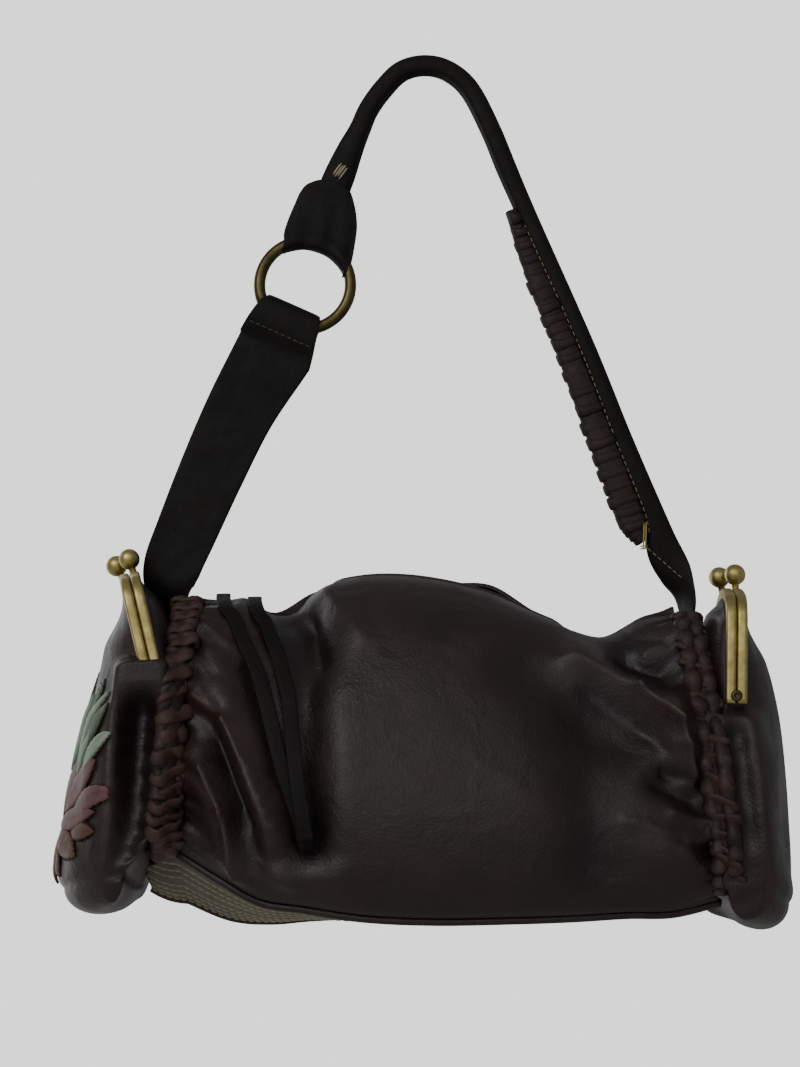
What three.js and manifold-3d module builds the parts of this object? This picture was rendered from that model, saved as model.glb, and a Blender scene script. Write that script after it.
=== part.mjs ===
// Slouchy barrel shoulder bag in dark brown leather, hanging by its strap.
// A gathered body with an open top mouth is laced at each end to a small purse
// that closes with a brass ball-clasp frame. The strap is flat on the left, passes
// through a brass ring and goes on as a rolled handle with a laced edge.
// Millimetres, +Z up, X along the bag, front towards -Y. The origin is the
// underside of the strap's crest, where the strap bears on whatever it hangs from.
import * as THREE from 'three';
import { mergeVertices } from 'three/addons/utils/BufferGeometryUtils.js';
import Module from 'manifold-3d';

const wasm = await Module();
wasm.setup();

// Driving dimensions
const GAP = 0.3;
const WALL = 1.8;
const LACE_ROOM = 6.6;

const BODY = {
  columns: 18,
  rows: 28,
  baseColumns: 4,
  baseSag: 1.5,
  endHeight: -290,
  leanLeft: 0.045,
  leanRight: -0.09,
  gatherCount: 4.5,
  gatherDepth: 2.2,
  gatherReach: 15,
};
const PIPING = { radius: 1.7, sides: 6 };
const MOUTH = { from: -42, to: 62, halfWidth: 4.8, low: -262, high: -200 };

// Body sections from left to right: station, heights, half depth and tilt of the base, front edge up
const STATIONS = [
  { x: -97.5, top: -229.0, bottom: -344.5, half: 40, tilt: 13 },
  { x: -80.0, top: -229.5, bottom: -353.5, half: 48, tilt: 11 },
  { x: -64.0, top: -233.5, bottom: -358.5, half: 53, tilt: 7 },
  { x: -48.0, top: -225.0, bottom: -359.2, half: 56, tilt: 4 },
  { x: -25.0, top: -219.7, bottom: -360.4, half: 58, tilt: 1 },
  { x: 0.0, top: -220.3, bottom: -360.8, half: 59, tilt: 0 },
  { x: 28.0, top: -226.5, bottom: -360.4, half: 58, tilt: 0 },
  { x: 52.0, top: -237.0, bottom: -359.6, half: 56, tilt: 0 },
  { x: 73.0, top: -244.0, bottom: -358.4, half: 52, tilt: 0 },
  { x: 90.0, top: -239.5, bottom: -357.5, half: 48, tilt: -1 },
  { x: 108.0, top: -233.0, bottom: -353.0, half: 42, tilt: -2 },
];

// Half section from the top lip to the base piping, as shares of half depth and height
const HALF_SECTION = [
  { name: 'lip', across: 0.0, height: 1.0 },
  { name: 'shoulder', across: 0.3, height: 0.955 },
  { name: 'upper', across: 0.62, height: 0.82 },
  { name: 'side', across: 0.86, height: 0.6 },
  { name: 'belly', across: 1.0, height: 0.34 },
  { name: 'lower', across: 0.98, height: 0.15 },
  { name: 'turn', across: 0.87, height: 0.035 },
  { name: 'piping', across: 0.76, height: 0.0 },
];

// Folds of the leather: a line in the front view, its half width and its height, negative for a valley
const FRONT_FOLDS = [
  { name: 'left long ridge', x0: -88, z0: -258, x1: -59, z1: -328, width: 7, height: 4.5 },
  { name: 'left long valley', x0: -84, z0: -284, x1: -66, z1: -338, width: 5, height: -3 },
  { name: 'left low ridge', x0: -90, z0: -296, x1: -73, z1: -345, width: 6, height: 3.5 },
  { name: 'valley by the ties', x0: -52, z0: -240, x1: -46, z1: -332, width: 9, height: -8 },
  { name: 'foot of that valley', x0: -56, z0: -343, x1: -36, z1: -343, width: 6, height: 2 },
  { name: 'belly edge', x0: -35, z0: -258, x1: -33, z1: -324, width: 9, height: 3 },
  { name: 'right slope', x0: 40, z0: -263, x1: 78, z1: -290, width: 12, height: -5 },
  { name: 'right upper ridge', x0: 60, z0: -256, x1: 97, z1: -279, width: 7, height: 4 },
  { name: 'right ridge turning down', x0: 97, z0: -279, x1: 103, z1: -304, width: 6, height: 4 },
  { name: 'right pocket', x0: 84, z0: -258, x1: 95, z1: -262, width: 10, height: -5 },
  { name: 'right pinch', x0: 95, z0: -308, x1: 106, z1: -318, width: 7, height: -3 },
  { name: 'right low bump', x0: 84, z0: -328, x1: 90, z1: -330, width: 10, height: 3 },
];
const BACK_FOLDS = [
  { name: 'left back ridge', x0: -88, z0: -262, x1: -48, z1: -320, width: 9, height: 4 },
  { name: 'left back valley', x0: -70, z0: -256, x1: -36, z1: -300, width: 10, height: -4 },
  { name: 'right back valley', x0: 62, z0: -268, x1: 98, z1: -300, width: 9, height: -4 },
  { name: 'right back ridge', x0: 52, z0: -290, x1: 96, z1: -318, width: 9, height: 3 },
];

// End purses: top of the gusset, lowest point and distance of its lowest line from that top; then the frame's
// shift outward from it, lean outward and turn about the upright in degrees, and the sideways place of its clasp
const LEFT = {
  side: -1, pinX: -109.2, pinZ: -266.0, bottom: -358.5, foot: 17.5,
  shift: 3.4, lean: 14.2, turn: 5.5, clasp: 1.4,
};
const RIGHT = {
  side: 1, pinX: 121.2, pinZ: -273.6, bottom: -364.5, foot: 8.5,
  shift: 4.2, lean: 2, turn: 5, clasp: -1.2,
};

// Outer wall of each purse on the way down from the frame: outward distance from the gusset's top at the
// purse's front and back edges and at its middle
LEFT.outer = [
  { down: 0.0, edge: 4.3, middle: 18.4 },
  { down: 0.13, edge: 10.0, middle: 22.6 },
  { down: 0.26, edge: 13.0, middle: 25.8 },
  { down: 0.4, edge: 13.4, middle: 29.6 },
  { down: 0.55, edge: 13.6, middle: 33.6 },
  { down: 0.7, edge: 14.0, middle: 37.2 },
  { down: 0.84, edge: 15.5, middle: 40.6 },
  { down: 0.92, edge: 17.0, middle: 39.6 },
  { down: 1.0, edge: 17.5, middle: 24.0 },
];
RIGHT.outer = [
  { down: 0.0, edge: 4.6, middle: 6.8 },
  { down: 0.13, edge: 8.0, middle: 15.5 },
  { down: 0.26, edge: 10.2, middle: 21.8 },
  { down: 0.4, edge: 11.3, middle: 25.6 },
  { down: 0.55, edge: 12.0, middle: 26.2 },
  { down: 0.7, edge: 12.0, middle: 26.8 },
  { down: 0.84, edge: 11.6, middle: 27.6 },
  { down: 0.92, edge: 10.6, middle: 27.6 },
  { down: 1.0, edge: 8.5, middle: 14.0 },
];
// Half width of both purses on the way down
const PURSE_WIDTH = [
  { down: 0.0, half: 36.4 },
  { down: 0.12, half: 41.0 },
  { down: 0.3, half: 46.0 },
  { down: 0.55, half: 49.0 },
  { down: 0.8, half: 48.0 },
  { down: 0.93, half: 43.0 },
  { down: 1.0, half: 36.0 },
];
const PURSE = {
  panelSteps: 10,
  gussetSteps: 3,
  gussetFold: 5,
  mouth: 4.4,
  cornerRise: 7,
  footTurn: 0.84,
  spread: 30,
  clear: 14,
  rim: { crown: 41.9, shoulder: 37.4, side: 24, turn: 0.65 },
  levels: [0, 0.07, 0.16, 0.28, 0.42, 0.56, 0.69, 0.8, 0.88, 0.94, 0.985],
  innerLevels: [0, 0.07, 0.16, 0.28, 0.42, 0.56, 0.69, 0.8, 0.88],
};

const FRAME = {
  halfWidth: 42,
  height: 41,
  corner: 13,
  crown: 6.5,
  bar: 5,
  thick: 4.3,
  seam: 0.15,
  below: 3,
  bevel: 0.7,
};
const CLASP = { ball: 4.4, centre: 53.4, spread: 2.9, offset: 4.6, stem: 1.5 };
const HINGE = { pin: 1.3, bore: 1.6, head: 2.3, headThick: 0.9 };

const LACING = { steps: 46, sides: 6, radial: 3.4, scallop: 1.0, topGap: 0.17, proud: 0.8 };

const RING = { x: -51.6, z: -94.3, radius: 19.5, wire: 2.5, segments: 28, sides: 8 };

const STRAP_THICK = 2.0;
// Flat strap from the ring down to its anchor between body and purse: place, width and turn about its length
const FLAT_STRAP = [
  { x: -65.2, y: -0.4, z: -123.5, width: 31.0, turn: 0 },
  { x: -78.6, y: -0.4, z: -149.0, width: 29.5, turn: 0 },
  { x: -90.0, y: -0.3, z: -175.0, width: 28.0, turn: 0 },
  { x: -100.4, y: -0.2, z: -200.7, width: 26.0, turn: 0 },
  { x: -106.2, y: 0.0, z: -216.0, width: 25.0, turn: 8 },
  { x: -106.6, y: 0.0, z: -227.0, width: 25.0, turn: 36 },
  { x: -103.2, y: 0.0, z: -237.0, width: 25.0, turn: 74 },
  { x: -100.8, y: 0.0, z: -246.0, width: 25.0, turn: 90 },
  { x: -101.5, y: 0.0, z: -262.0, width: 25.0, turn: 90 },
];
// Fold of the strap round the ring, from the end of the tail behind to the front: distance below the
// ring's centre, depth and width
const STRAP_FOLD = [
  { down: 42.0, y: 2.0, width: 27 },
  { down: 28.0, y: 2.0, width: 28.5 },
  { down: 22.6, y: 4.3, width: 27.6 },
  { down: 15.4, y: 4.5, width: 26 },
  { down: 12.4, y: 3.3, width: 22 },
  { down: 11.2, y: 0.0, width: 22 },
  { down: 12.4, y: -3.3, width: 22 },
  { down: 15.4, y: -4.5, width: 26 },
  { down: 22.6, y: -4.3, width: 28.8 },
  { down: 27.6, y: -0.9, width: 31 },
];
const STRAP_DIRECTION = new THREE.Vector3(-0.413, 0, -0.9107);

// Petal tab between ring and handle: distance from the ring's centre, shift to the left, width and thickness
const TAB_DIRECTION = new THREE.Vector3(0.36, 0, 0.933);
const TAB = [
  { out: 20.6, side: 0.0, width: 30, thick: 6.0 },
  { out: 27, side: 1.2, width: 31, thick: 4.6 },
  { out: 34, side: 3.2, width: 28.6, thick: 4.6 },
  { out: 41, side: 4.7, width: 22.4, thick: 5.4 },
  { out: 45.6, side: 4.7, width: 16.5, thick: 6.6 },
  { out: 47.6, side: 4.7, width: 12.6, thick: 7.2 },
];
const SLEEVE = { bore: 3.1, wall: 1.8, halfAngle: 46, steps: 8, sides: 8 };

// Rolled handle from the tab over the crest to its right anchor: place, width in the front view, depth and turn
const HANDLE = [
  { x: -38.7, z: -47.8, width: 12.4, depth: 7.2, turn: 0 },
  { x: -37.0, z: -43.6, width: 11.6, depth: 7.4, turn: 0 },
  { x: -32.8, z: -33.9, width: 10.8, depth: 8.0, turn: 0 },
  { x: -28.4, z: -24.8, width: 9.4, depth: 8.6, turn: 0 },
  { x: -24.6, z: -15.7, width: 9.0, depth: 8.6, turn: 0 },
  { x: -18.5, z: -6.6, width: 9.0, depth: 8.6, turn: 0 },
  { x: -10.3, z: 1.8, width: 9.0, depth: 8.6, turn: 0 },
  { x: 0.0, z: 4.5, width: 9.0, depth: 8.6, turn: 0 },
  { x: 10.3, z: 1.8, width: 9.0, depth: 8.6, turn: 0 },
  { x: 19.6, z: -6.9, width: 9.0, depth: 8.6, turn: 0 },
  { x: 28.4, z: -24.8, width: 9.0, depth: 8.4, turn: 0 },
  { x: 36.2, z: -42.9, width: 9.0, depth: 8.2, turn: 0 },
  { x: 45.6, z: -65.3, width: 8.0, depth: 8.0, turn: 0 },
  { x: 68.3, z: -121.6, width: 8.0, depth: 7.4, turn: 0 },
  { x: 82.9, z: -160.8, width: 8.6, depth: 6.4, turn: 0 },
  { x: 95.4, z: -193.0, width: 9.6, depth: 5.0, turn: 0 },
  { x: 99.6, z: -209.2, width: 13.0, depth: 3.2, turn: 8 },
  { x: 103.4, z: -219.0, width: 15.0, depth: 2.6, turn: 30 },
  { x: 107.6, z: -229.0, width: 18.0, depth: 2.6, turn: 62 },
  { x: 109.4, z: -243.0, width: 20.0, depth: 2.6, turn: 90 },
  { x: 110.7, z: -263.0, width: 20.0, depth: 2.6, turn: 90 },
];
// Laced edge along the inside of the handle: place, width in the front view and depth
const HANDLE_LACE = [
  { x: 38.4, z: -66.6, width: 5.0, depth: 4.0 },
  { x: 48.3, z: -94.0, width: 7.4, depth: 5.2 },
  { x: 59.1, z: -121.6, width: 8.0, depth: 5.4 },
  { x: 73.0, z: -160.8, width: 9.2, depth: 5.4 },
  { x: 84.4, z: -193.0, width: 9.2, depth: 5.0 },
  { x: 88.9, z: -205.0, width: 5.0, depth: 3.6 },
];
const HANDLE_LACE_WRAPS = 18;

// Two flat thongs that come out at the top of the left gather and hang over the front
const TIE = { width: 6, thick: 1.5, sides: 8 };
const TIE_LONG = [
  [-84.4, -3.0, -228.6],
  [-84.0, -8.0, -230.8],
  [-83.0, -14.0, -233.3],
  [-81.2, -20.4, -236.9],
  [-78.0, -24.0, -240.6],
  [-74.0, -31.0, -249.8],
  [-70.0, -35.9, -258.0],
  [-66.6, -40.5, -266.0],
  [-62.0, -47.5, -281.5],
  [-57.8, -52.5, -297.3],
  [-54.2, -55.0, -308.8],
  [-50.0, -55.2, -320.6],
  [-46.4, -53.6, -333.4],
];
const TIE_SHORT = [
  [-71.4, -3.0, -229.9],
  [-71.0, -8.0, -232.0],
  [-70.0, -14.0, -235.0],
  [-68.0, -19.8, -239.2],
  [-65.2, -23.0, -243.0],
  [-62.5, -29.6, -249.8],
  [-59.2, -34.8, -257.8],
  [-57.0, -39.6, -265.9],
  [-54.6, -43.9, -274.3],
  [-52.6, -51.6, -290.2],
  [-50.6, -56.8, -306.0],
  [-48.6, -58.1, -319.0],
  [-46.6, -57.0, -330.6],
];

// Helpers: tables, solids and lofted surfaces

/** Value of a table's column at a place along its key column, by cubic Hermite steps. */
function along(table, key, column, place) {
  const last = table.length - 1;
  let i = 0;
  while (i < last - 1 && place > table[i + 1][key]) i++;
  const slope = (k) => {
    const before = table[Math.max(k - 1, 0)];
    const after = table[Math.min(k + 1, last)];
    return (after[column] - before[column]) / (after[key] - before[key]);
  };
  const [p, q] = [table[i], table[i + 1]];
  const span = q[key] - p[key];
  const t = THREE.MathUtils.clamp((place - p[key]) / span, 0, 1);
  const ease = t * t * (3 - 2 * t);
  const bend = slope(i) * t * (1 - t) ** 2 - slope(i + 1) * t * t * (1 - t);
  return p[column] * (1 - ease) + q[column] * ease + span * bend;
}

const mix = THREE.MathUtils.lerp;
const step = THREE.MathUtils.smoothstep;
const radians = THREE.MathUtils.degToRad;
const range = (n) => Array.from({ length: n + 1 }, (_, i) => i / n);

/** Geometry from points and triangles, turned so that its faces point out. */
function closedGeometry(points, triangles) {
  let volume = 0;
  for (const [a, b, c] of triangles) {
    volume += points[a].dot(new THREE.Vector3().crossVectors(points[b], points[c]));
  }
  const faces = volume < 0 ? triangles.map(([a, b, c]) => [a, c, b]) : triangles;
  const geometry = new THREE.BufferGeometry().setFromPoints(points);
  geometry.setIndex(faces.flat());
  geometry.computeVertexNormals();
  return geometry;
}

/** Closed surface through rings of equal length, with a fan over the first and the last. */
function loft(rings) {
  const count = rings[0].length;
  const points = rings.flat();
  const triangles = [];
  for (let i = 0; i < rings.length - 1; i++) {
    for (let j = 0; j < count; j++) {
      const k = (j + 1) % count;
      const [a, b, c, d] = [i * count + j, i * count + k, (i + 1) * count + k, (i + 1) * count + j];
      triangles.push([a, b, c], [a, c, d]);
    }
  }
  for (const [ring, first] of [[rings[0], true], [rings[rings.length - 1], false]]) {
    const start = first ? 0 : (rings.length - 1) * count;
    const centre = points.length;
    points.push(ring.reduce((sum, p) => sum.add(p), new THREE.Vector3()).divideScalar(count));
    for (let j = 0; j < count; j++) {
      const k = (j + 1) % count;
      triangles.push(first ? [centre, start + k, start + j] : [centre, start + j, start + k]);
    }
  }
  return closedGeometry(points, triangles);
}

/** Sheet of leather between two grids of points, closed along its four edges. */
function thickSheet(outer, inner) {
  return loft(outer.map((row, i) => [...row, ...[...inner[i]].reverse()]));
}

/** Normals of a grid of points; the grid is closed across each row if wrap is true. */
function gridNormals(grid, wrap) {
  const rows = grid.length;
  const count = grid[0].length;
  const pick = (j) => (wrap ? (j + count) % count : THREE.MathUtils.clamp(j, 0, count - 1));
  return grid.map((row, i) => row.map((_, j) => {
    const acrossRow = grid[i][pick(j + 1)].clone().sub(grid[i][pick(j - 1)]);
    const down = grid[Math.min(i + 1, rows - 1)][j].clone().sub(grid[Math.max(i - 1, 0)][j]);
    return acrossRow.cross(down).normalize();
  }));
}

const offset = (point, normal, distance) => point.clone().addScaledVector(normal, distance);

function solidOf(geometry) {
  const bare = geometry.clone();
  for (const name of Object.keys(bare.attributes)) {
    if (name !== 'position') bare.deleteAttribute(name);
  }
  const merged = mergeVertices(bare, 1e-4);
  return new wasm.Manifold(new wasm.Mesh({
    numProp: 3,
    vertProperties: new Float32Array(merged.attributes.position.array),
    triVerts: new Uint32Array(merged.index.array),
  }));
}

function geometryOf(solid) {
  const mesh = solid.getMesh();
  const geometry = new THREE.BufferGeometry();
  geometry.setAttribute('position', new THREE.BufferAttribute(new Float32Array(mesh.vertProperties), 3));
  geometry.setIndex(new THREE.BufferAttribute(new Uint32Array(mesh.triVerts), 1));
  geometry.computeVertexNormals();
  return geometry;
}

/** Section of a sweep: an oval, or a rounded rectangle where power is below 1. */
function sectionRing(centre, wide, thin, width, depth, sides, power) {
  const bent = (value) => Math.sign(value) * Math.abs(value / Math.cos(Math.PI / sides)) ** power;
  return range(sides).slice(0, -1).map((share) => {
    const angle = 2 * Math.PI * (share + 0.5 / sides);
    return offset(centre, wide, (width / 2) * bent(Math.cos(angle)))
      .addScaledVector(thin, (depth / 2) * bent(Math.sin(angle)));
  });
}

/** Rings carried along rows of places in the front plane; rows give width, depth and turn. */
function ribbonRings(rows, sides, power) {
  return rows.map((row, i) => {
    const before = rows[Math.max(i - 1, 0)];
    const after = rows[Math.min(i + 1, rows.length - 1)];
    const way = new THREE.Vector3(after.x - before.x, 0, after.z - before.z).normalize();
    const wide = new THREE.Vector3(-way.z, 0, way.x).applyAxisAngle(way, radians(row.turn ?? 0));
    const thin = new THREE.Vector3().crossVectors(way, wide);
    const centre = new THREE.Vector3(row.x, row.y ?? 0, row.z);
    return sectionRing(centre, wide, thin, row.width, row.depth, sides, power);
  });
}

/** A table's rows with evenly spaced rows put between them, every column smoothed. */
function refine(table, key, count) {
  const columns = Object.keys(table[0]);
  const marked = table.map((row, i) => ({ ...row, [key]: i }));
  return range(count).map((share) => {
    const place = share * (table.length - 1);
    const row = {};
    for (const column of columns) row[column] = along(marked, key, column, place);
    return row;
  });
}

// Body: gathered wrap, base panel and piping

const halfCurve = new THREE.SplineCurve(HALF_SECTION.map((p) => new THREE.Vector2(p.across, p.height)));
const FIRST = STATIONS[0].x;
const LAST = STATIONS[STATIONS.length - 1].x;
const BASE_EDGE = HALF_SECTION[HALF_SECTION.length - 1].across;

/** Place of the body's left or right end at a height. */
function endPlane(end, z) {
  return end.side < 0
    ? FIRST + BODY.leanLeft * (z - BODY.endHeight)
    : LAST + BODY.leanRight * (z - BODY.endHeight);
}

/** Puts a section's own across and height shares into place: the base tilts, then the section leans. */
function placeSection(x, across, height) {
  const top = along(STATIONS, 'x', 'top', x);
  const bottom = along(STATIONS, 'x', 'bottom', x);
  const y = across * along(STATIONS, 'x', 'half', x);
  const tilt = radians(along(STATIONS, 'x', 'tilt', x));
  const z = mix(bottom, top, height) - y * Math.tan(tilt) * (1 - height);
  const lean = mix(BODY.leanLeft, BODY.leanRight, (x - FIRST) / (LAST - FIRST));
  return new THREE.Vector3(x + lean * (z - BODY.endHeight), y, z);
}

/** Wrap before folding: around runs from -1 at the front piping over the lip at 0 to 1 at the back piping. */
function wrapPoint(x, around) {
  const share = halfCurve.getPoint(Math.abs(around));
  return placeSection(x, Math.sign(around) * share.x, share.y);
}

/** Base panel: around runs from -1 at the front piping to 1 at the back piping. */
function basePoint(x, around) {
  const point = placeSection(x, BASE_EDGE * around, 0);
  point.z -= BODY.baseSag * (1 - around * around);
  return point;
}

/** Height of all folds at a point: each is a bell across its line that dies out past the line's ends. */
function foldHeight(point) {
  let sum = 0;
  for (const fold of point.y < 0 ? FRONT_FOLDS : BACK_FOLDS) {
    const line = new THREE.Vector2(fold.x1 - fold.x0, fold.z1 - fold.z0);
    const from = new THREE.Vector2(point.x - fold.x0, point.z - fold.z0);
    const share = THREE.MathUtils.clamp(from.dot(line) / line.lengthSq(), 0, 1);
    const away = from.addScaledVector(line, -share).length() / fold.width;
    sum += fold.height * Math.exp(-away * away);
  }
  return sum;
}

/** Gathers: waves around the section that die out away from the laced ends. */
function gatherHeight(x, around) {
  const nearest = Math.min(x - FIRST, LAST - x);
  return BODY.gatherDepth * Math.cos(2 * Math.PI * BODY.gatherCount * around)
    * Math.exp(-nearest / BODY.gatherReach);
}

const AROUND = range(2 * BODY.columns).map((share) => 2 * share - 1);
const ALONG = range(BODY.rows).map((share) => mix(FIRST, LAST, share));
const SEAM = 0.066;

function bodyWrap() {
  const plain = ALONG.map((x) => AROUND.map((around) => wrapPoint(x, around * (1 - SEAM))));
  const normals = gridNormals(plain, false);
  const middle = new THREE.Vector3(0, 0, BODY.endHeight);
  const outwards = Math.sign(normals[14][4].dot(plain[14][4].clone().sub(middle)));
  const outer = plain.map((row, i) => row.map((point, j) => {
    const calm = step(1 - Math.abs(AROUND[j]), 0, 0.16);
    const height = calm * (foldHeight(point) + gatherHeight(ALONG[i], AROUND[j]));
    return offset(point, normals[i][j], outwards * height);
  }));
  const inner = outer.map((row, i) => row.map((p, j) => offset(p, normals[i][j], -outwards * WALL)));
  for (const [end, i] of [[LEFT, 0], [RIGHT, BODY.rows]]) {
    for (const p of [...outer[i], ...inner[i]]) p.x = endPlane(end, p.z);
  }
  const lens = new THREE.Shape();
  lens.moveTo(MOUTH.from, 0);
  lens.quadraticCurveTo((MOUTH.from + MOUTH.to) / 2, 2 * MOUTH.halfWidth, MOUTH.to, 0);
  lens.quadraticCurveTo((MOUTH.from + MOUTH.to) / 2, -2 * MOUTH.halfWidth, MOUTH.from, 0);
  const cutter = new THREE.ExtrudeGeometry(lens, {
    depth: MOUTH.high - MOUTH.low, bevelEnabled: false, curveSegments: 9,
  });
  cutter.translate(0, 0, MOUTH.low);
  return geometryOf(solidOf(thickSheet(outer, inner)).subtract(solidOf(cutter)));
}

function basePanel() {
  const edge = 1 - (PIPING.radius + 2 * GAP) / 40;
  const across = range(BODY.baseColumns).map((share) => edge * (2 * share - 1));
  const outer = ALONG.map((x) => across.map((around) => basePoint(x, around)));
  const inner = outer.map((row) => row.map((p) => p.clone().add(new THREE.Vector3(0, 0, WALL))));
  return thickSheet(outer, inner);
}

function piping(around) {
  const centres = ALONG.map((x) => basePoint(x, around));
  return loft(centres.map((centre) => range(PIPING.sides).slice(0, -1).map((share) => {
    const angle = 2 * Math.PI * share;
    const spoke = new THREE.Vector3(0, Math.cos(angle), Math.sin(angle));
    return offset(centre, spoke, PIPING.radius);
  })));
}

// Ends: laced welt, purse, frame with ball clasp, and hinge pins

/** Scalloped welt of lacing around the body's end, open at the top where the strap goes in. */
function lacing(end) {
  const x = end.side < 0 ? FIRST : LAST;
  const corner = 0.86;
  const path = range(LACING.steps).map((share) => {
    const around = mix(LACING.topGap, 2 - LACING.topGap, share);
    const onBase = (around - corner) / (2 - 2 * corner);
    if (onBase <= 0) return wrapPoint(x, -around);
    if (onBase >= 1) return wrapPoint(x, 2 - around);
    return basePoint(x, 2 * onBase - 1);
  });
  const centre = new THREE.Vector3(x, 0, BODY.endHeight);
  const rings = path.map((point, i) => {
    const out = new THREE.Vector3(0, point.y - centre.y, point.z - centre.z).normalize();
    const swell = LACING.radial + (i % 2 ? LACING.scallop : 0);
    const place = offset(point, out, LACING.proud);
    place.x = endPlane(end, place.z) + end.side * (LACE_ROOM / 2);
    return range(LACING.sides).slice(0, -1).map((share) => {
      const angle = 2 * Math.PI * share;
      return offset(place, out, swell * Math.cos(angle))
        .add(new THREE.Vector3((LACE_ROOM / 2 - 2 * GAP) * Math.sin(angle), 0, 0));
    });
  });
  return loft(rings);
}

/** Arch of a purse frame in its own plane, from the front leg's foot over the crown to the back leg's. */
function arch(inset, foot) {
  const wide = FRAME.halfWidth - inset;
  const high = FRAME.height - inset;
  const corner = FRAME.corner - inset / 2;
  const path = new THREE.Path();
  path.moveTo(-wide, foot);
  path.lineTo(-wide, high - corner);
  path.quadraticCurveTo(-wide, high, -wide + corner, high + FRAME.crown / 3);
  path.quadraticCurveTo(0, high + 1.65 * FRAME.crown, wide - corner, high + FRAME.crown / 3);
  path.quadraticCurveTo(wide, high, wide, high - corner);
  path.lineTo(wide, foot);
  return path;
}

const FRAME_AXES = new THREE.Matrix4().makeBasis(
  new THREE.Vector3(0, 1, 0), new THREE.Vector3(0, 0, 1), new THREE.Vector3(1, 0, 0),
);

/** One half of a purse frame with its soldered clasp ball; out is 1 for the outer half, -1 for the inner. */
function frameHalf(end, out) {
  const outline = new THREE.Shape([
    ...arch(FRAME.bevel, -FRAME.below).getPoints(5),
    ...arch(FRAME.bar - FRAME.bevel, -FRAME.below).getPoints(5).reverse(),
  ]);
  const bar = new THREE.ExtrudeGeometry(outline, {
    depth: FRAME.thick - 2 * FRAME.bevel,
    bevelThickness: FRAME.bevel,
    bevelSize: FRAME.bevel,
    bevelSegments: 1,
    curveSegments: 5,
  });
  bar.applyMatrix4(FRAME_AXES);
  const towards = end.side * out;
  bar.translate(towards > 0 ? FRAME.seam + FRAME.bevel : FRAME.bevel - FRAME.seam - FRAME.thick, 0, 0);

  const crownTop = FRAME.height + FRAME.crown;
  const foot = new THREE.Vector3(towards * FRAME.thick / 2, -towards * CLASP.offset, crownTop - 2.5);
  const tip = new THREE.Vector3(towards * CLASP.spread + end.side * end.clasp, foot.y, CLASP.centre);
  const ball = new THREE.SphereGeometry(CLASP.ball, 10, 7);
  ball.rotateX(Math.PI / 2);
  ball.translate(tip.x, tip.y, tip.z);
  const stem = new THREE.CylinderGeometry(CLASP.stem, CLASP.stem * 1.3, tip.distanceTo(foot), 8);
  const up = tip.clone().sub(foot).normalize();
  stem.applyQuaternion(new THREE.Quaternion().setFromUnitVectors(new THREE.Vector3(0, 1, 0), up));
  const half = foot.clone().lerp(tip, 0.5);
  stem.translate(half.x, half.y, half.z);
  const bore = new THREE.CylinderGeometry(HINGE.bore, HINGE.bore, 3 * FRAME.halfWidth, 10);
  return geometryOf(
    solidOf(bar).add(solidOf(stem)).add(solidOf(ball)).subtract(solidOf(bore)),
  );
}

/** Hinge pin through both leg ends with its round head outside; way is -1 at the front and 1 at the back. */
function hingePin(way) {
  const length = FRAME.bar + 1;
  const shank = new THREE.CylinderGeometry(HINGE.pin, HINGE.pin, length, 10);
  shank.translate(0, way * (FRAME.halfWidth - FRAME.bar / 2 + 0.5), 0);
  const head = new THREE.CylinderGeometry(HINGE.head, HINGE.head, HINGE.headThick, 12);
  head.translate(0, way * (FRAME.halfWidth + GAP + HINGE.headThick / 2), 0);
  return geometryOf(solidOf(shank).add(solidOf(head)));
}

/** Height of the purse's rim inside the frame: a flat crown with rounded shoulders. */
function rimHeight(across) {
  const { crown, shoulder, side, turn } = PURSE.rim;
  const reach = Math.abs(across);
  if (reach < turn) return crown - (crown - shoulder) * (reach / turn) ** 2;
  const round = (reach - turn) / (1 - turn);
  return side + (shoulder - side) * Math.sqrt(Math.max(0, 1 - round * round));
}

/** Purse wall between the frame's arch and the foot; across runs from -1 at the front to 1 at the back. */
function pursePoint(end, outerFace, across, down) {
  const [sin, cos] = [Math.sin(radians(end.lean)), Math.cos(radians(end.lean))];
  const inFrame = FRAME.halfWidth - FRAME.bar - 2 * GAP - PURSE.mouth * Math.sin(radians(end.turn));
  const u = PURSE.mouth * (outerFace ? 1 : -1) + inFrame * across * Math.tan(radians(end.turn));
  const rimZ = end.pinZ + rimHeight(across) * cos - u * sin;
  const z = mix(rimZ, end.bottom + PURSE.cornerRise * across * across, down);
  const framed = end.shift + u / cos + Math.max(0, z - end.pinZ) * (sin / cos);
  const below = end.pinZ - FRAME.below - 2 * GAP - z;
  const half = mix(inFrame, along(PURSE_WIDTH, 'down', 'half', down), step(below, 0, PURSE.spread));
  const swell = Math.max(0, 1 - across * across) ** 0.75;

  let out;
  if (outerFace) {
    const edge = mix(framed, along(end.outer, 'down', 'edge', down), step(below, 0, PURSE.clear));
    const middle = along(end.outer, 'down', 'middle', down);
    out = edge + (middle - edge) * swell * step(down, 0, 0.2);
  } else {
    const plane = (endPlane(end, z) - end.pinX) * end.side + LACE_ROOM;
    const turn = Math.max(0, (down - PURSE.footTurn) / (1 - PURSE.footTurn));
    const flat = mix(plane, end.foot, 1 - Math.sqrt(Math.max(0, 1 - turn * turn)));
    const leave = mix(step(below, 0, PURSE.clear), step(down, 0, 0.26), swell);
    out = mix(framed, flat, leave);
  }
  return new THREE.Vector3(end.pinX + end.side * out, half * across, z);
}

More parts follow.
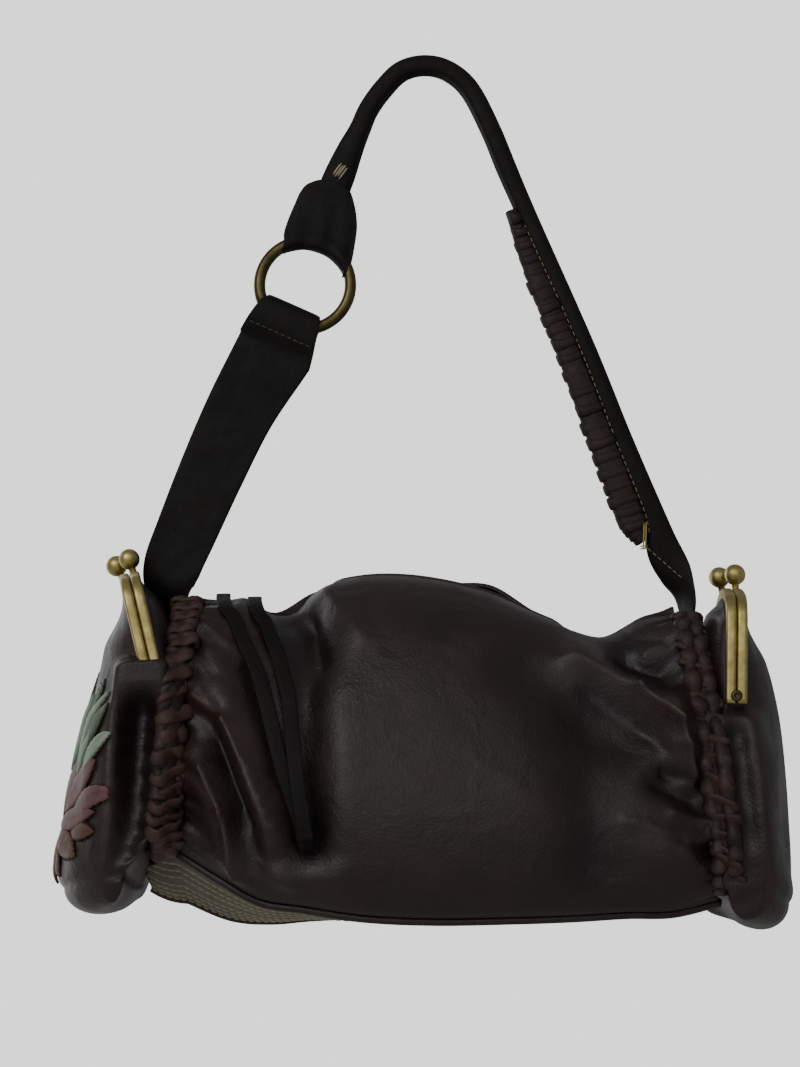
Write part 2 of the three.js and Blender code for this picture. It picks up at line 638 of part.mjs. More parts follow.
/** Ring of points around the purse at one level: outer wall, back gusset, inner wall, front gusset. */
function purseRing(end, down) {
  const wall = (outerFace) => range(PURSE.panelSteps)
    .map((share) => pursePoint(end, outerFace, 2 * share - 1, down));
  const outer = wall(true);
  const inner = wall(false).reverse();
  const tuck = PURSE.gussetFold * Math.sin(Math.PI * Math.min(1, down * 1.1));
  const gusset = (from, to) => range(PURSE.gussetSteps).slice(1, -1).map((share) => {
    const point = from.clone().lerp(to, share);
    point.y -= Math.sign(point.y) * tuck * Math.sin(Math.PI * share);
    return point;
  });
  return [
    ...outer,
    ...gusset(outer[outer.length - 1], inner[0]),
    ...inner,
    ...gusset(inner[inner.length - 1], outer[0]),
  ];
}

function purse(end) {
  const outer = PURSE.levels.map((down) => purseRing(end, down));
  const normals = gridNormals(outer, true);
  const deep = Math.floor(PURSE.levels.length / 2);
  const away = Math.sign(normals[deep][5].x * end.side);
  const inner = PURSE.innerLevels.map((_, i) => outer[i].map((p, j) => offset(p, normals[i][j], -away * WALL)));
  return loft([...[...outer].reverse(), ...inner]);
}

// Strap: flat strap with its loop, ring, petal tab, rolled handle and laced edge

const RING_CENTRE = new THREE.Vector3(RING.x, 0, RING.z);

/** Flat strap: a stitched tail behind, the fold round the ring, then the strap down to its anchor. */
function flatStrap() {
  const across = new THREE.Vector3(0, 1, 0).cross(STRAP_DIRECTION).negate();
  const fold = STRAP_FOLD.map((row, i) => {
    const before = STRAP_FOLD[Math.max(i - 1, 0)];
    const after = STRAP_FOLD[Math.min(i + 1, STRAP_FOLD.length - 1)];
    const way = STRAP_DIRECTION.clone().multiplyScalar(after.down - before.down)
      .add(new THREE.Vector3(0, after.y - before.y, 0)).normalize();
    const thin = new THREE.Vector3().crossVectors(way, across);
    const centre = offset(RING_CENTRE, STRAP_DIRECTION, row.down).add(new THREE.Vector3(0, row.y, 0));
    return sectionRing(centre, across, thin, row.width, STRAP_THICK, 8, 0.35);
  });
  const rows = refine(FLAT_STRAP, 'place', 18).map((row) => ({ ...row, depth: STRAP_THICK }));
  return loft([...fold, ...ribbonRings(rows, 8, 0.35)]);
}

/** Tube along the ring's own circle, from one angle to another about the tab's direction. */
function ringTube(radius, halfAngle) {
  const across = new THREE.Vector3(TAB_DIRECTION.z, 0, -TAB_DIRECTION.x);
  return loft(range(SLEEVE.steps).map((share) => {
    const angle = radians(mix(-halfAngle, halfAngle, share));
    const spoke = TAB_DIRECTION.clone().multiplyScalar(Math.cos(angle)).addScaledVector(across, Math.sin(angle));
    const centre = offset(RING_CENTRE, spoke, RING.radius);
    return range(SLEEVE.sides).slice(0, -1).map((part) => {
      const turn = 2 * Math.PI * part;
      return offset(centre, spoke, radius * Math.cos(turn)).add(new THREE.Vector3(0, radius * Math.sin(turn), 0));
    });
  }));
}

function petalTab() {
  const rows = refine(TAB, 'place', 12).map((row) => {
    const place = offset(RING_CENTRE, TAB_DIRECTION, row.out);
    place.x -= row.side * TAB_DIRECTION.z;
    place.z += row.side * TAB_DIRECTION.x;
    return { x: place.x, z: place.z, width: row.width, depth: row.thick };
  });
  const petal = solidOf(loft(ribbonRings(rows, 8, 0.7)));
  const sleeve = solidOf(ringTube(SLEEVE.bore + SLEEVE.wall, SLEEVE.halfAngle));
  const bore = solidOf(ringTube(SLEEVE.bore, SLEEVE.halfAngle + 14));
  return geometryOf(petal.add(sleeve).subtract(bore));
}

function rolledHandle() {
  return loft(ribbonRings(refine(HANDLE, 'place', 44), 8, 0.8));
}

function handleLace() {
  const steps = 2 * HANDLE_LACE_WRAPS;
  const rows = refine(HANDLE_LACE, 'place', steps).map((row, i) => {
    const pinch = i % 2 ? 1 : 0.8;
    return { ...row, width: row.width * pinch, depth: row.depth * pinch };
  });
  return loft(ribbonRings(rows, 6, 1));
}

/** Flat thong along a route: its flat side follows the leather below it. */
function tie(route) {
  const curve = new THREE.CatmullRomCurve3(route.map((p) => new THREE.Vector3(...p)));
  const steps = route.length + 3;
  return loft(range(steps).map((share) => {
    const centre = curve.getPointAt(share);
    const way = curve.getTangentAt(share);
    const wide = new THREE.Vector3(1, 0, 0).addScaledVector(way, -way.x).normalize();
    const thin = new THREE.Vector3().crossVectors(way, wide);
    return sectionRing(centre, wide, thin, TIE.width, TIE.thick, TIE.sides, 0.5);
  }));
}

// Assembly

const leather = new THREE.MeshStandardMaterial({ color: 0x2e2322, roughness: 0.38, metalness: 0 });
const suede = new THREE.MeshStandardMaterial({ color: 0x211b17, roughness: 0.7, metalness: 0 });
const thong = new THREE.MeshStandardMaterial({ color: 0x3a2523, roughness: 0.5, metalness: 0 });
const brass = new THREE.MeshStandardMaterial({ color: 0x9a8a52, roughness: 0.3, metalness: 1 });
const oldBrass = new THREE.MeshStandardMaterial({ color: 0x6e5f38, roughness: 0.4, metalness: 1 });

function node(name, geometry, material) {
  const mesh = new THREE.Mesh(geometry, material);
  mesh.name = name;
  return mesh;
}

const bag = new THREE.Group();
bag.add(
  node('body_wrap', bodyWrap(), leather),
  node('base_panel', basePanel(), leather),
  node('piping_front', piping(-1), suede),
  node('piping_back', piping(1), suede),
);

for (const [name, end] of [['left', LEFT], ['right', RIGHT]]) {
  bag.add(
    node(`${name}_purse`, purse(end), leather),
    node(`${name}_lacing`, lacing(end), thong),
  );
  const hinge = new THREE.Group();
  hinge.position.set(end.pinX + end.side * end.shift, 0, end.pinZ);
  hinge.rotation.set(0, end.side * radians(end.lean), -end.side * radians(end.turn));
  hinge.add(
    node(`${name}_frame_outer`, frameHalf(end, 1), brass),
    node(`${name}_frame_inner`, frameHalf(end, -1), brass),
    node(`${name}_hinge_front`, hingePin(-1), brass),
    node(`${name}_hinge_back`, hingePin(1), brass),
  );
  bag.add(hinge);
}

const ring = node('o_ring', new THREE.TorusGeometry(RING.radius, RING.wire, RING.sides, RING.segments), oldBrass);
ring.position.copy(RING_CENTRE);
ring.rotation.x = Math.PI / 2;
bag.add(
  ring,
  node('strap_flat', flatStrap(), suede),
  node('strap_tab', petalTab(), suede),
  node('strap_handle', rolledHandle(), suede),
  node('strap_lacing', handleLace(), thong),
  node('tie_long', tie(TIE_LONG), suede),
  node('tie_short', tie(TIE_SHORT), suede),
);

export default bag;
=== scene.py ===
"""Looks of a slouchy leather shoulder bag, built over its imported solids.

Every piece is a numpy surface in the solids' own frame: X along the bag, front towards -Y, +Z up.
Tables and formulas work in millimetres, and a mesh is put into metres when it is made.
"""
import math

import bmesh
import bpy
import numpy as np
from bpy.props import FloatProperty, FloatVectorProperty, IntProperty, PointerProperty
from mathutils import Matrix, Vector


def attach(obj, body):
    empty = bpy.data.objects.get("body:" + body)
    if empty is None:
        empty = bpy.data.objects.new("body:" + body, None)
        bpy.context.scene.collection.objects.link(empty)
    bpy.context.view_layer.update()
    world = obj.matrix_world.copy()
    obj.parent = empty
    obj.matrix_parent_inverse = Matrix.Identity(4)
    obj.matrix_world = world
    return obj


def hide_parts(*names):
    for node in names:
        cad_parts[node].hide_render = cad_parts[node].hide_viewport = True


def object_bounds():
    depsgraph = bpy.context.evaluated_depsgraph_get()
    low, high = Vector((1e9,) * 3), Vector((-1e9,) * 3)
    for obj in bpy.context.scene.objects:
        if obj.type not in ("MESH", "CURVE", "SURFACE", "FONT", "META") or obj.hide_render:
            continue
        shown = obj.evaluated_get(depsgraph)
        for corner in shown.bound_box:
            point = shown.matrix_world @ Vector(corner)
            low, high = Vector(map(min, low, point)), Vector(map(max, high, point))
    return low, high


bl_info = {
    "name": "Laced leather shoulder bag",
    "version": (1, 0, 0),
    "blender": (4, 5, 0),
    "location": "3D View > Sidebar > Bag",
    "description": "Builds the leather, lacing, brass and stitching of a shoulder bag over its solids",
    "category": "Object",
}

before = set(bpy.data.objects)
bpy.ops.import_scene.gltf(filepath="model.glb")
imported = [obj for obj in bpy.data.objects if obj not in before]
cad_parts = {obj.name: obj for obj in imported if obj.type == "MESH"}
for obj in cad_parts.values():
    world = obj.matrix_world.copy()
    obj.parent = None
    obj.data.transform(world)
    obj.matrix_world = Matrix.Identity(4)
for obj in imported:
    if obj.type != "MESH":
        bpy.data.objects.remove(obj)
CAD_BOX = [list(corner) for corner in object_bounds()]
MM = 0.001


def linear(code):
    """sRGB hex colour as linear red, green and blue."""
    values = np.array([int(code[i:i + 2], 16) for i in (1, 3, 5)]) / 255
    return tuple(np.where(values <= 0.04045, values / 12.92, ((values + 0.055) / 1.055) ** 2.4))


def table(columns, *rows):
    """Short table with named columns."""
    return np.array(list(rows), dtype=[(name, float) for name in columns.split()])


# Sizes that follow the solids; some folds, edges and trim are shaped further here than in them
# Body along X: top and bottom of its section, half its depth, and the tilt of the base in degrees
STATIONS = table(
    "x top bottom half tilt",
    (-97.5, -229.0, -344.5, 40, 18),
    (-80.0, -229.5, -353.5, 48, 13),
    (-64.0, -233.5, -358.5, 53, 7),
    (-48.0, -225.0, -359.2, 56, 4),
    (-25.0, -219.7, -360.4, 58, 1),
    (0.0, -220.3, -360.8, 59, 0),
    (28.0, -226.5, -360.4, 58, 0),
    (52.0, -237.0, -359.6, 56, 0),
    (73.0, -244.0, -358.4, 52, 0),
    (90.0, -239.5, -357.5, 48, -1),
    (108.0, -233.0, -353.0, 42, -2),
)
# Half of the body's section from the lip to the piping, as shares of half depth and of height
HALF_SECTION = table(
    "across height",
    (0.0, 1.0), (0.3, 0.955), (0.62, 0.82), (0.86, 0.6),
    (1.0, 0.34), (0.98, 0.15), (0.87, 0.035), (0.76, 0.0),
)
# A fold runs from one point to another in the front view, and stands out by height, or in if negative
FOLD_COLUMNS = "x0 z0 x1 z1 width height"
FRONT_FOLDS = table(
    FOLD_COLUMNS,
    (-88, -258, -59, -328, 7, 4.5),
    (-84, -284, -66, -338, 5, -3),
    (-90, -296, -73, -345, 6, 3.5),
    (-52, -240, -46, -332, 9, -7),
    (-56, -343, -36, -343, 6, 2),
    (-35, -258, -33, -324, 9, 0.6),
    (40, -263, 78, -290, 12, -5),
    (60, -256, 97, -279, 7, 4),
    (97, -279, 103, -304, 6, 4),
    (84, -258, 95, -262, 10, -5),
    (95, -308, 106, -318, 7, -3),
    (92, -334, 98, -336, 10, 3),
    (62, -292, 64, -338, 14, -4),
)
BACK_FOLDS = table(
    FOLD_COLUMNS,
    (-88, -262, -48, -320, 9, 4),
    (-70, -256, -36, -300, 10, -4),
    (62, -268, 98, -300, 9, -4),
    (52, -290, 96, -318, 9, 3),
)
# Smaller creases that the solids leave out, drawn with a sharp crest
FRONT_CREASES = table(
    FOLD_COLUMNS,
    (-92, -274, -79, -285, 3.0, 2.8),
    (-79, -285, -60, -325, 3.2, 4.4),
    (-71, -262, -57, -304, 4.6, -3.4),
    (-87, -302, -78, -319, 2.8, 3.0),
    (-78, -319, -73, -343, 2.8, 3.6),
    (-83, -290, -69, -324, 3.6, -3.4),
    (-90, -244, -80, -252, 4.0, 1.6),
    (-93, -254, -84, -266, 3.6, -1.8),
    (-66, -338, -52, -347, 3.6, 1.4),
    (-41, -228, -26, -250, 5.0, 2.2),
    (-49, -238, -43, -258, 9.0, -7.0),
    (57, -258, 84, -271, 3.4, 3.0),
    (84, -271, 98, -285, 3.0, 3.4),
    (98, -285, 104, -306, 2.8, 3.2),
    (66, -270, 92, -292, 6.0, -2.8),
    (80, -255, 94, -260, 6.0, -3.8),
    (88, -308, 104, -314, 5.0, -1.8),
    (78, -322, 100, -330, 5.0, 1.4),
    (97, -334, 107, -340, 3.4, 1.2),
    (20, -300, 52, -322, 9.0, 0.8),
    (95, -292, 108, -297, 3.2, 2.6),
    (93, -303, 107, -308, 3.2, -2.8),
    (95, -319, 110, -323, 3.2, 2.6),
    (97, -330, 110, -334, 3.0, -2.2),
    (82, -246, 98, -250, 4.0, -2.0),
    (88, -253, 104, -246, 3.0, 1.6),
)
BACK_CREASES = table(
    FOLD_COLUMNS,
    (-94, -246, -74, -262, 3.0, 2.6),
    (-95, -280, -70, -300, 2.8, -2.4),
    (-94, -312, -76, -330, 3.2, 2.4),
    (-60, -250, -44, -290, 4.0, 2.2),
    (102, -250, 80, -264, 3.0, 2.6),
    (104, -282, 82, -294, 2.8, -2.4),
    (104, -316, 84, -330, 3.4, 2.2),
)
# Slope of the left and of the right end in the front view, and the height where the ends keep their place
LEANS = (0.045, -0.09)
END_HEIGHT = -290.0
# Base: sag of its middle, length past the left end at the front and at the back, curl of that length, ribs
BASE = {"sag": 1.5, "past_front": 4.0, "past_back": 15.0, "curl": 0.022, "rib": 0.4, "rib_pitch": 0.25}
# Share of the half section that the piping takes at the base
SEAM = 0.066
# Mouth along X with its half width at the middle, and the broad gathers of both ends
MOUTH = {"from": -42.0, "to": 62.0, "half": 4.8}
GATHER = {"count": 4.5, "depth": 1.5, "reach": 15.0}
PIPING_RADIUS = 1.7
# Room for the lacing between the body's end and a purse
LACE_ROOM = 6.6

# Outer wall of the purses: share of the way down, then how far out its edge and its middle stand
PURSE_ROWS = "down edge middle"
PURSE_OUTER = {
    "left": table(
        PURSE_ROWS,
        (0, 4.3, 18.4), (0.13, 10, 22.6), (0.26, 13, 25.8), (0.4, 13.4, 29.6), (0.55, 13.6, 33.6),
        (0.7, 14, 37.2), (0.84, 15.5, 40.6), (0.92, 17, 39.6), (1, 17.5, 24),
    ),
    "right": table(
        PURSE_ROWS,
        (0, 4.6, 9.8), (0.13, 5.6, 15.8), (0.26, 6.0, 21.4), (0.4, 6.4, 24.6), (0.55, 7.4, 25.2),
        (0.7, 8.8, 25.6), (0.84, 10.4, 26.2), (0.92, 10.4, 26.4), (1, 8.5, 14),
    ),
}
# Values of the left and of the right end
END_VALUES = {
    "side": (-1, 1),                        # way along X, away from the bag
    "pin_x": (-109.2, 121.2),               # place of the frame's hinge pins
    "pin_z": (-266.0, -273.6),              # height of the hinge pins
    "bottom": (-358.5, -364.5),             # lowest level of the purse
    "foot": (17.5, 8.5),                    # how far out the inner wall stands at its foot
    "shift": (3.4, 4.2),                    # how far out of the pins the frame's middle stands
    "lean": (14.2, 2.0),                    # degrees that the frame leans out
    "turn": (5.5, 5.0),                     # degrees that the frame turns about the upright
    "clasp": (1.4, -1.2),                   # how far out of the frame's middle the two balls meet
    "cover": (8.0, -3.6),                   # height over the pins where the gusset covers the frame's legs
    "step": (1.6, 6.0),                     # height over which the gusset steps out there
    "brim": (45.4, 41.5),                   # half width of the leather just below that step
    "tuck": (13.0, 5.0),                    # depth of the gusset's fold
    "puff": (4.0, 4.6),                     # bulge of the inner wall under the frame's arch
    "rise": (0.74, 0.84),                   # share of the way down where the inner wall turns out to its foot
    "laced": ((0.13, 0.93), (0.16, 0.85)),  # shares of the half section between which the lacing runs
    "proud": (3.3, 1.0),                    # how far the thong's loops stand out of the seam
    "core": (2.9, 1.2),                     # half thickness of the seam under the loops
    "lumps": (1.0, 0.74),                   # ruched lumps for each turn of the thong
    "welt": (3.6, 3.9),                     # radius of the ruched edges
    "full": (1.0, 0.8),                     # how round their lumps are
    "pucker": (1.9, 1.6),                   # height of the gusset's puckers
    "wave": (8.6, 15.0),                    # distance between the puckers
    "lip": (0.0, 8.0),                      # bulge of the inner wall's corners low down, towards the body
    "hitch": (0.3, 0.0),                    # how steeply the purse's foot is drawn up towards the body
    "tone_shift": (3.2, -0.8),                    # added fold height of the thong: the left lacing painted lighter and the right darker, as painted light and shade
}
LEFT, RIGHT = (
    {"name": name, "outer": PURSE_OUTER[name], **{key: pair[column] for key, pair in END_VALUES.items()}}
    for column, name in enumerate(("left", "right"))
)
ENDS = (LEFT, RIGHT)
# Half width of a purse's leather by the share of the way down
PURSE_WIDTH = table(
    "down half",
    (0, 36.4), (0.12, 41), (0.3, 46), (0.55, 49), (0.8, 48), (0.93, 43), (1, 36),
)
# Frame bars from the hinge line up, and the balls of the clasp on their stems
FRAME = {
    "half": 42.0, "height": 41.0, "corner": 13.0, "crown": 6.5, "bar": 5.0, "thick": 4.3, "below": 3.0,
}
CLASP = {"ball": 4.4, "centre": 53.4, "spread": 2.9, "offset": 4.6, "stem": 1.5}
# Half distance between a purse's two walls at the frame
PURSE_MOUTH = 4.4

RING = {"x": -51.6, "z": -94.3, "radius": 19.5, "wire": 2.5}
# Flat strap: its way down from the ring's middle, its fold round the ring, and the rest down to its foot
STRAP_THICK = 2.0
STRAP_WAY = np.array((-0.413, 0.0, -0.9107))
STRAP_FOLD = table(
    "down y width",
    (42.0, 2.0, 27.4), (28.0, 2.2, 28.8), (22.6, 4.3, 28), (15.4, 4.6, 26.8), (12.2, 3.3, 24.6),
    (11.0, 0.0, 24), (12.2, -3.3, 24.6), (15.4, -4.6, 28), (22.6, -4.4, 31.2), (29.0, -1.4, 33.6),
)
FLAT_STRAP = table(
    "x y z width turn",
    (-64.2, -0.4, -123.5, 34.0, 0),
    (-78.4, -0.4, -149.0, 30.0, 0),
    (-90.0, -0.3, -175.0, 28.0, 0),
    (-100.4, -0.2, -200.7, 26.0, 0),
    (-106.2, 0.0, -216.0, 25.0, 8),
    (-106.6, 0.0, -227.0, 25.0, 36),
    (-103.2, 0.0, -237.0, 25.0, 74),
    (-100.8, 0.0, -246.0, 25.0, 90),
    (-101.5, 0.0, -262.0, 25.0, 90),
)
TAB_WAY = np.array((0.36, 0.0, 0.933))
# Petal tab as one strip from the end of its back layer round the ring to the end of its front layer
TAB_STRIP = table(
    "out y side width",
    (46.4, 2.4, 3.5, 2), (46.0, 2.4, 3.6, 8), (44.8, 2.3, 3.9, 14.5), (42.6, 2.1, 4.3, 19.5),
    (40.7, 1.9, 4.4, 22.7), (37.5, 1.7, 3.7, 26.2), (34.0, 1.6, 2.7, 28.6), (29.0, 1.8, 1.8, 30.6),
    (24.9, 2.6, 1.0, 31.2), (22.0, 3.5, 0.3, 30.4), (19.5, 4.0, 0, 29.4), (16.6, 3.0, 0, 28.4),
    (15.3, 0, 0, 28),
    (16.6, -3.0, 0, 28.4), (19.5, -4.0, 0, 29.4), (22.0, -3.6, 0.3, 30.4), (24.9, -3.1, 1.0, 31.2),
    (29.0, -3.0, 1.8, 30.6), (34.0, -3.2, 2.7, 28.6), (37.5, -3.5, 3.7, 26.2), (40.7, -3.8, 4.4, 22.7),
    (42.6, -4.1, 4.3, 19.5), (44.8, -4.4, 3.9, 14.5), (46.0, -4.5, 3.6, 8), (46.4, -4.5, 3.5, 2),
)
# Rolled handle from the tab over the crest to the right end, and the laced edge inside its right limb
HANDLE = table(
    "x z width depth turn",
    (-40.4, -54.3, 14.0, 4.8, 0),
    (-36.6, -44.4, 13.4, 7.4, 0),
    (-32.5, -33.9, 11.4, 8.0, 0),
    (-28.4, -24.8, 9.4, 8.6, 0),
    (-24.6, -15.7, 9.0, 8.6, 0),
    (-18.5, -6.6, 9.0, 8.6, 0),
    (-10.3, 1.8, 9.0, 8.6, 0),
    (0.0, 4.5, 9.0, 8.6, 0),
    (10.3, 1.8, 9.0, 8.6, 0),
    (19.6, -6.9, 9.0, 8.6, 0),
    (28.4, -24.8, 9.0, 8.4, 0),
    (35.4, -42.9, 9.0, 8.2, 0),
    (44.6, -65.3, 8.4, 8.0, 0),
    (68.3, -121.6, 8.0, 7.4, 0),
    (82.9, -160.8, 8.6, 6.4, 0),
    (95.4, -193.0, 9.6, 5.0, 0),
    (99.8, -209.2, 14.4, 3.2, 6),
    (104.4, -219.0, 14.4, 2.6, 26),
    (108.4, -229.0, 13.0, 2.6, 58),
    (109.4, -243.0, 20.0, 2.6, 90),
    (110.7, -263.0, 20.0, 2.6, 90),
)
HANDLE_LACE = table(
    "x z width depth",
    (36.4, -61.6, 5.0, 4.0),
    (48.3, -94.0, 7.4, 5.2),
    (59.1, -121.6, 8.0, 5.4),
    (73.0, -160.8, 9.2, 5.4),
    (84.4, -193.0, 9.2, 5.0),
    (88.9, -205.0, 5.0, 3.6),
)
# Routes of the two ties from the top left down over the front
TIE_THICK = 1.5
TIES = {
    "tie_long": table(
        "x y z",
        (-84.4, -3.0, -228.6), (-84.0, -8.0, -230.8), (-83.0, -14.0, -233.3), (-81.2, -20.4, -236.9),
        (-78.0, -24.0, -240.6), (-74.0, -31.0, -249.8), (-70.0, -35.9, -258.0), (-66.6, -40.5, -266.0),
        (-62.0, -47.5, -281.5), (-57.8, -52.5, -297.3), (-54.2, -55.0, -308.8), (-50.0, -55.2, -320.6),
        (-46.4, -53.6, -333.4),
    ),
    "tie_short": table(
        "x y z",
        (-71.4, -3.0, -229.9), (-71.0, -8.0, -232.0), (-70.0, -14.0, -235.0), (-68.0, -19.8, -239.2),
        (-65.2, -23.0, -243.0), (-62.5, -29.6, -249.8), (-59.2, -34.8, -257.8), (-57.0, -39.6, -265.9),
        (-54.6, -43.9, -274.3), (-52.6, -51.6, -290.2), (-50.6, -56.8, -306.0), (-48.6, -58.1, -319.0),
        (-46.6, -57.0, -330.6),
    ),
}
# Leaves sewn to the left purse: middle as shares across and down, turn in degrees, length and width
LEAF_COLUMNS = "across down turn length width"
LEAVES = {
    "moss": table(
        LEAF_COLUMNS,
        (-0.50, 0.42, -20, 34, 9), (-0.74, 0.46, -34, 28, 8), (-0.34, 0.52, -10, 30, 9),
        (-0.10, 0.41, 0, 36, 9), (0.14, 0.48, 8, 32, 9), (0.42, 0.43, 22, 34, 9), (0.70, 0.46, 34, 28, 8),
    ),
    "mint": table(
        LEAF_COLUMNS,
        (-0.63, 0.45, -26, 32, 5), (-0.42, 0.46, -14, 30, 5), (-0.84, 0.52, -40, 22, 5),
        (-0.66, 0.53, -30, 18, 4), (0.28, 0.42, 14, 32, 5), (0.56, 0.42, 28, 30, 5),
    ),
    "rose": table(
        LEAF_COLUMNS,
        (-0.62, 0.63, -50, 30, 12), (-0.82, 0.68, -66, 24, 9), (-0.40, 0.64, -24, 30, 12),
        (-0.66, 0.73, -84, 24, 9), (-0.08, 0.60, 0, 30, 12), (0.24, 0.62, 22, 30, 12),
        (0.54, 0.60, 50, 30, 12), (0.78, 0.66, 66, 24, 9),
    ),
    "rust": table(
        LEAF_COLUMNS,
        (-0.54, 0.80, -124, 24, 10), (-0.78, 0.775, -100, 14, 7), (-0.30, 0.81, -150, 26, 10),
        (-0.02, 0.80, 180, 28, 10), (0.28, 0.80, 150, 28, 10), (0.54, 0.79, 124, 28, 11),
        (0.78, 0.79, 100, 22, 9),
    ),
}
# Height of each kind of leaf over the purse, so that one kind lies over another, and of every second leaf
LEAF_LAYER = {"moss": 0.0, "mint": 0.9, "rose": 0.5, "rust": 0.1}
LEAF_STAGGER = 0.3
# Half width and height of the purse's wall that the leaves' shares are taken from
LEAF_ACROSS, LEAF_DOWN = 46, 125
# Rises of the body's top edge: middle, breadth, height, share of the half section, 1 for the back alone
TOP_RISES = table(
    "x breadth height reach back",
    (30, 15, 5.0, 0.3, 1),
    (-76, 6, 2.4, 0.3, 0),
    (93, 9, 2.2, 0.34, 0),
)
# Rows of topstitching on each half of the base, as shares of its half width
STITCH_ROWS = np.array((0.92, 0.68, 0.43, 0.18))
# Camera and light: the photo's focal length and height in pixels, lamps in metres and watts
FOCAL_PIXELS, PHOTO_HEIGHT = 2000, 1067
CAMERA_PLACE = (-0.0109, -0.830, -0.3336)
CAMERA_TILT = 99
LAMPS = table(
    "x y z wide tall power",
    (-0.4, -1.5, 0.35, 2.3, 1.8, 9.0),
    (-0.9, -1.2, 0.55, 0.8, 0.8, 4.2),
    (-0.8, 0.9, -0.1, 1.4, 1.4, 6),
)
LAMP_AIM = np.array((0.0, 0.0, -0.2))
ROOM_SEEN, ROOM_LIT = 2.46, 0.3


# Formulas shared by the pieces

def mix(a, b, share):
    """Straight mix of two values."""
    return a + (b - a) * share


def smooth(value, low, high):
    """Smooth step from 0 at low to 1 at high."""
    t = np.clip((value - low) / (high - low), 0, 1)
    return t * t * (3 - 2 * t)


def along(rows, key, column, place):
    """Column of a table at a place along its key, on the smooth curve through its rows."""
    return hermite(rows[key], rows[column], place)


def hermite(keys, values, place):
    """Smooth curve through values at rising keys: cubic Hermite steps, each slope from the two neighbours."""
    last = len(keys) - 1
    before = np.maximum(np.arange(last + 1) - 1, 0)
    after = np.minimum(np.arange(last + 1) + 1, last)
    slope = (values[after] - values[before]) / (keys[after] - keys[before])
    i = np.clip(np.searchsorted(keys, place) - 1, 0, last - 1)
    span = keys[i + 1] - keys[i]
    t = np.clip((place - keys[i]) / span, 0, 1)
    ease = t * t * (3 - 2 * t)
    bend = slope[i] * t * (1 - t) ** 2 - slope[i + 1] * t * t * (1 - t)
    return values[i] * (1 - ease) + values[i + 1] * ease + span * bend


def refined(rows, count):
    """Table with count rows put evenly along its old ones, every column smoothed."""
    place = np.linspace(0, len(rows) - 1, count)
    fine = np.empty(count, dtype=rows.dtype)
    for column in rows.dtype.names:
        fine[column] = hermite(np.arange(len(rows), dtype=float), rows[column], place)
    return fine


def catmull(values, share):
    """Uniform Catmull-Rom curve through values, share from 0 to 1; the end points count twice."""
    padded = np.concatenate([values[:1], values, values[-1:]])
    place = share * (len(values) - 1)
    i = np.clip(np.floor(place).astype(int), 0, len(values) - 2)
    w = place - i
    p0, p1, p2, p3 = padded[i], padded[i + 1], padded[i + 2], padded[i + 3]
    v0, v1 = (p2 - p0) / 2, (p3 - p1) / 2
    return (2 * p1 - 2 * p2 + v0 + v1) * w ** 3 + (3 * p2 - 3 * p1 - 2 * v0 - v1) * w ** 2 + v0 * w + p1


def points_of(x, y, z):
    """Points from coordinates that broadcast together."""
    return np.stack(np.broadcast_arrays(x, y, z), axis=-1).astype(float)


def unit(vectors):
    """Vectors of length one."""
    return vectors / np.maximum(np.linalg.norm(vectors, axis=-1, keepdims=True), 1e-9)


def tangents(path):
    """Unit tangents of a path, or of a row of paths, from differences of neighbours."""
    return unit(np.gradient(path, axis=-2))


FIRST, LAST = STATIONS["x"][0], STATIONS["x"][-1]
BASE_EDGE = HALF_SECTION["across"][-1]


def end_plane(side, z):
    """Place of the body's left or right end at a height: a leaning line."""
    if side < 0:
        return FIRST + LEANS[0] * (z - END_HEIGHT)
    return LAST + LEANS[1] * (z - END_HEIGHT)


def place_section(x, across, height):
    """Body section in place: across is a share of the half depth, height one between base and top.

    The base is tilted by its station's angle, and the section leans by a mix of both ends' slopes.
    """
    y = across * along(STATIONS, "x", "half", x)
    level = mix(along(STATIONS, "x", "bottom", x), along(STATIONS, "x", "top", x), height)
    z = level - y * np.tan(np.radians(along(STATIONS, "x", "tilt", x))) * (1 - height)
    lean = mix(LEANS[0], LEANS[1], (x - FIRST) / (LAST - FIRST))
    return points_of(x + lean * (z - END_HEIGHT), y, z)


def wrap_point(x, around):
    """Body before folding: around is -1 at the front piping, 0 at the lip and 1 at the back piping."""
    share = np.abs(around)
    across = np.sign(around) * catmull(HALF_SECTION["across"], share)
    return place_section(x, across, catmull(HALF_SECTION["height"], share))


def base_point(x, around):
    """Base panel: from -1 at the front piping to 1 at the back piping, sagging as a parabola."""
    point = place_section(x, BASE_EDGE * around, np.zeros_like(around))
    point[..., 2] -= BASE["sag"] * (1 - around ** 2)
    return point


def fold_height(point, rows, sharp=False):
    """Sum of folds, each a bell across its line in the front view that dies out past its ends.

    A sharp fold falls from a crest with a small round tip as an exponential instead.
    """
    total = np.zeros(point.shape[:-1])
    fall, tip = 1.7, 0.2
    for fold in rows:
        line = np.array((fold["x1"] - fold["x0"], fold["z1"] - fold["z0"]))
        start = np.stack((point[..., 0] - fold["x0"], point[..., 2] - fold["z0"]), axis=-1)
        share = np.clip(start @ line / (line @ line), 0, 1)
        away = np.linalg.norm(start - share[..., None] * line, axis=-1) / fold["width"]
        crest = np.exp(-fall * (np.hypot(away, tip) - tip)) if sharp else np.exp(-away ** 2)
        total += fold["height"] * crest
    return total


def mouth_half(x):
    """Half width of the mouth: a parabola between its two ends, none beyond them."""
    t = np.clip((x - MOUTH["from"]) / (MOUTH["to"] - MOUTH["from"]), 0, 1)
    return 4 * MOUTH["half"] * t * (1 - t)


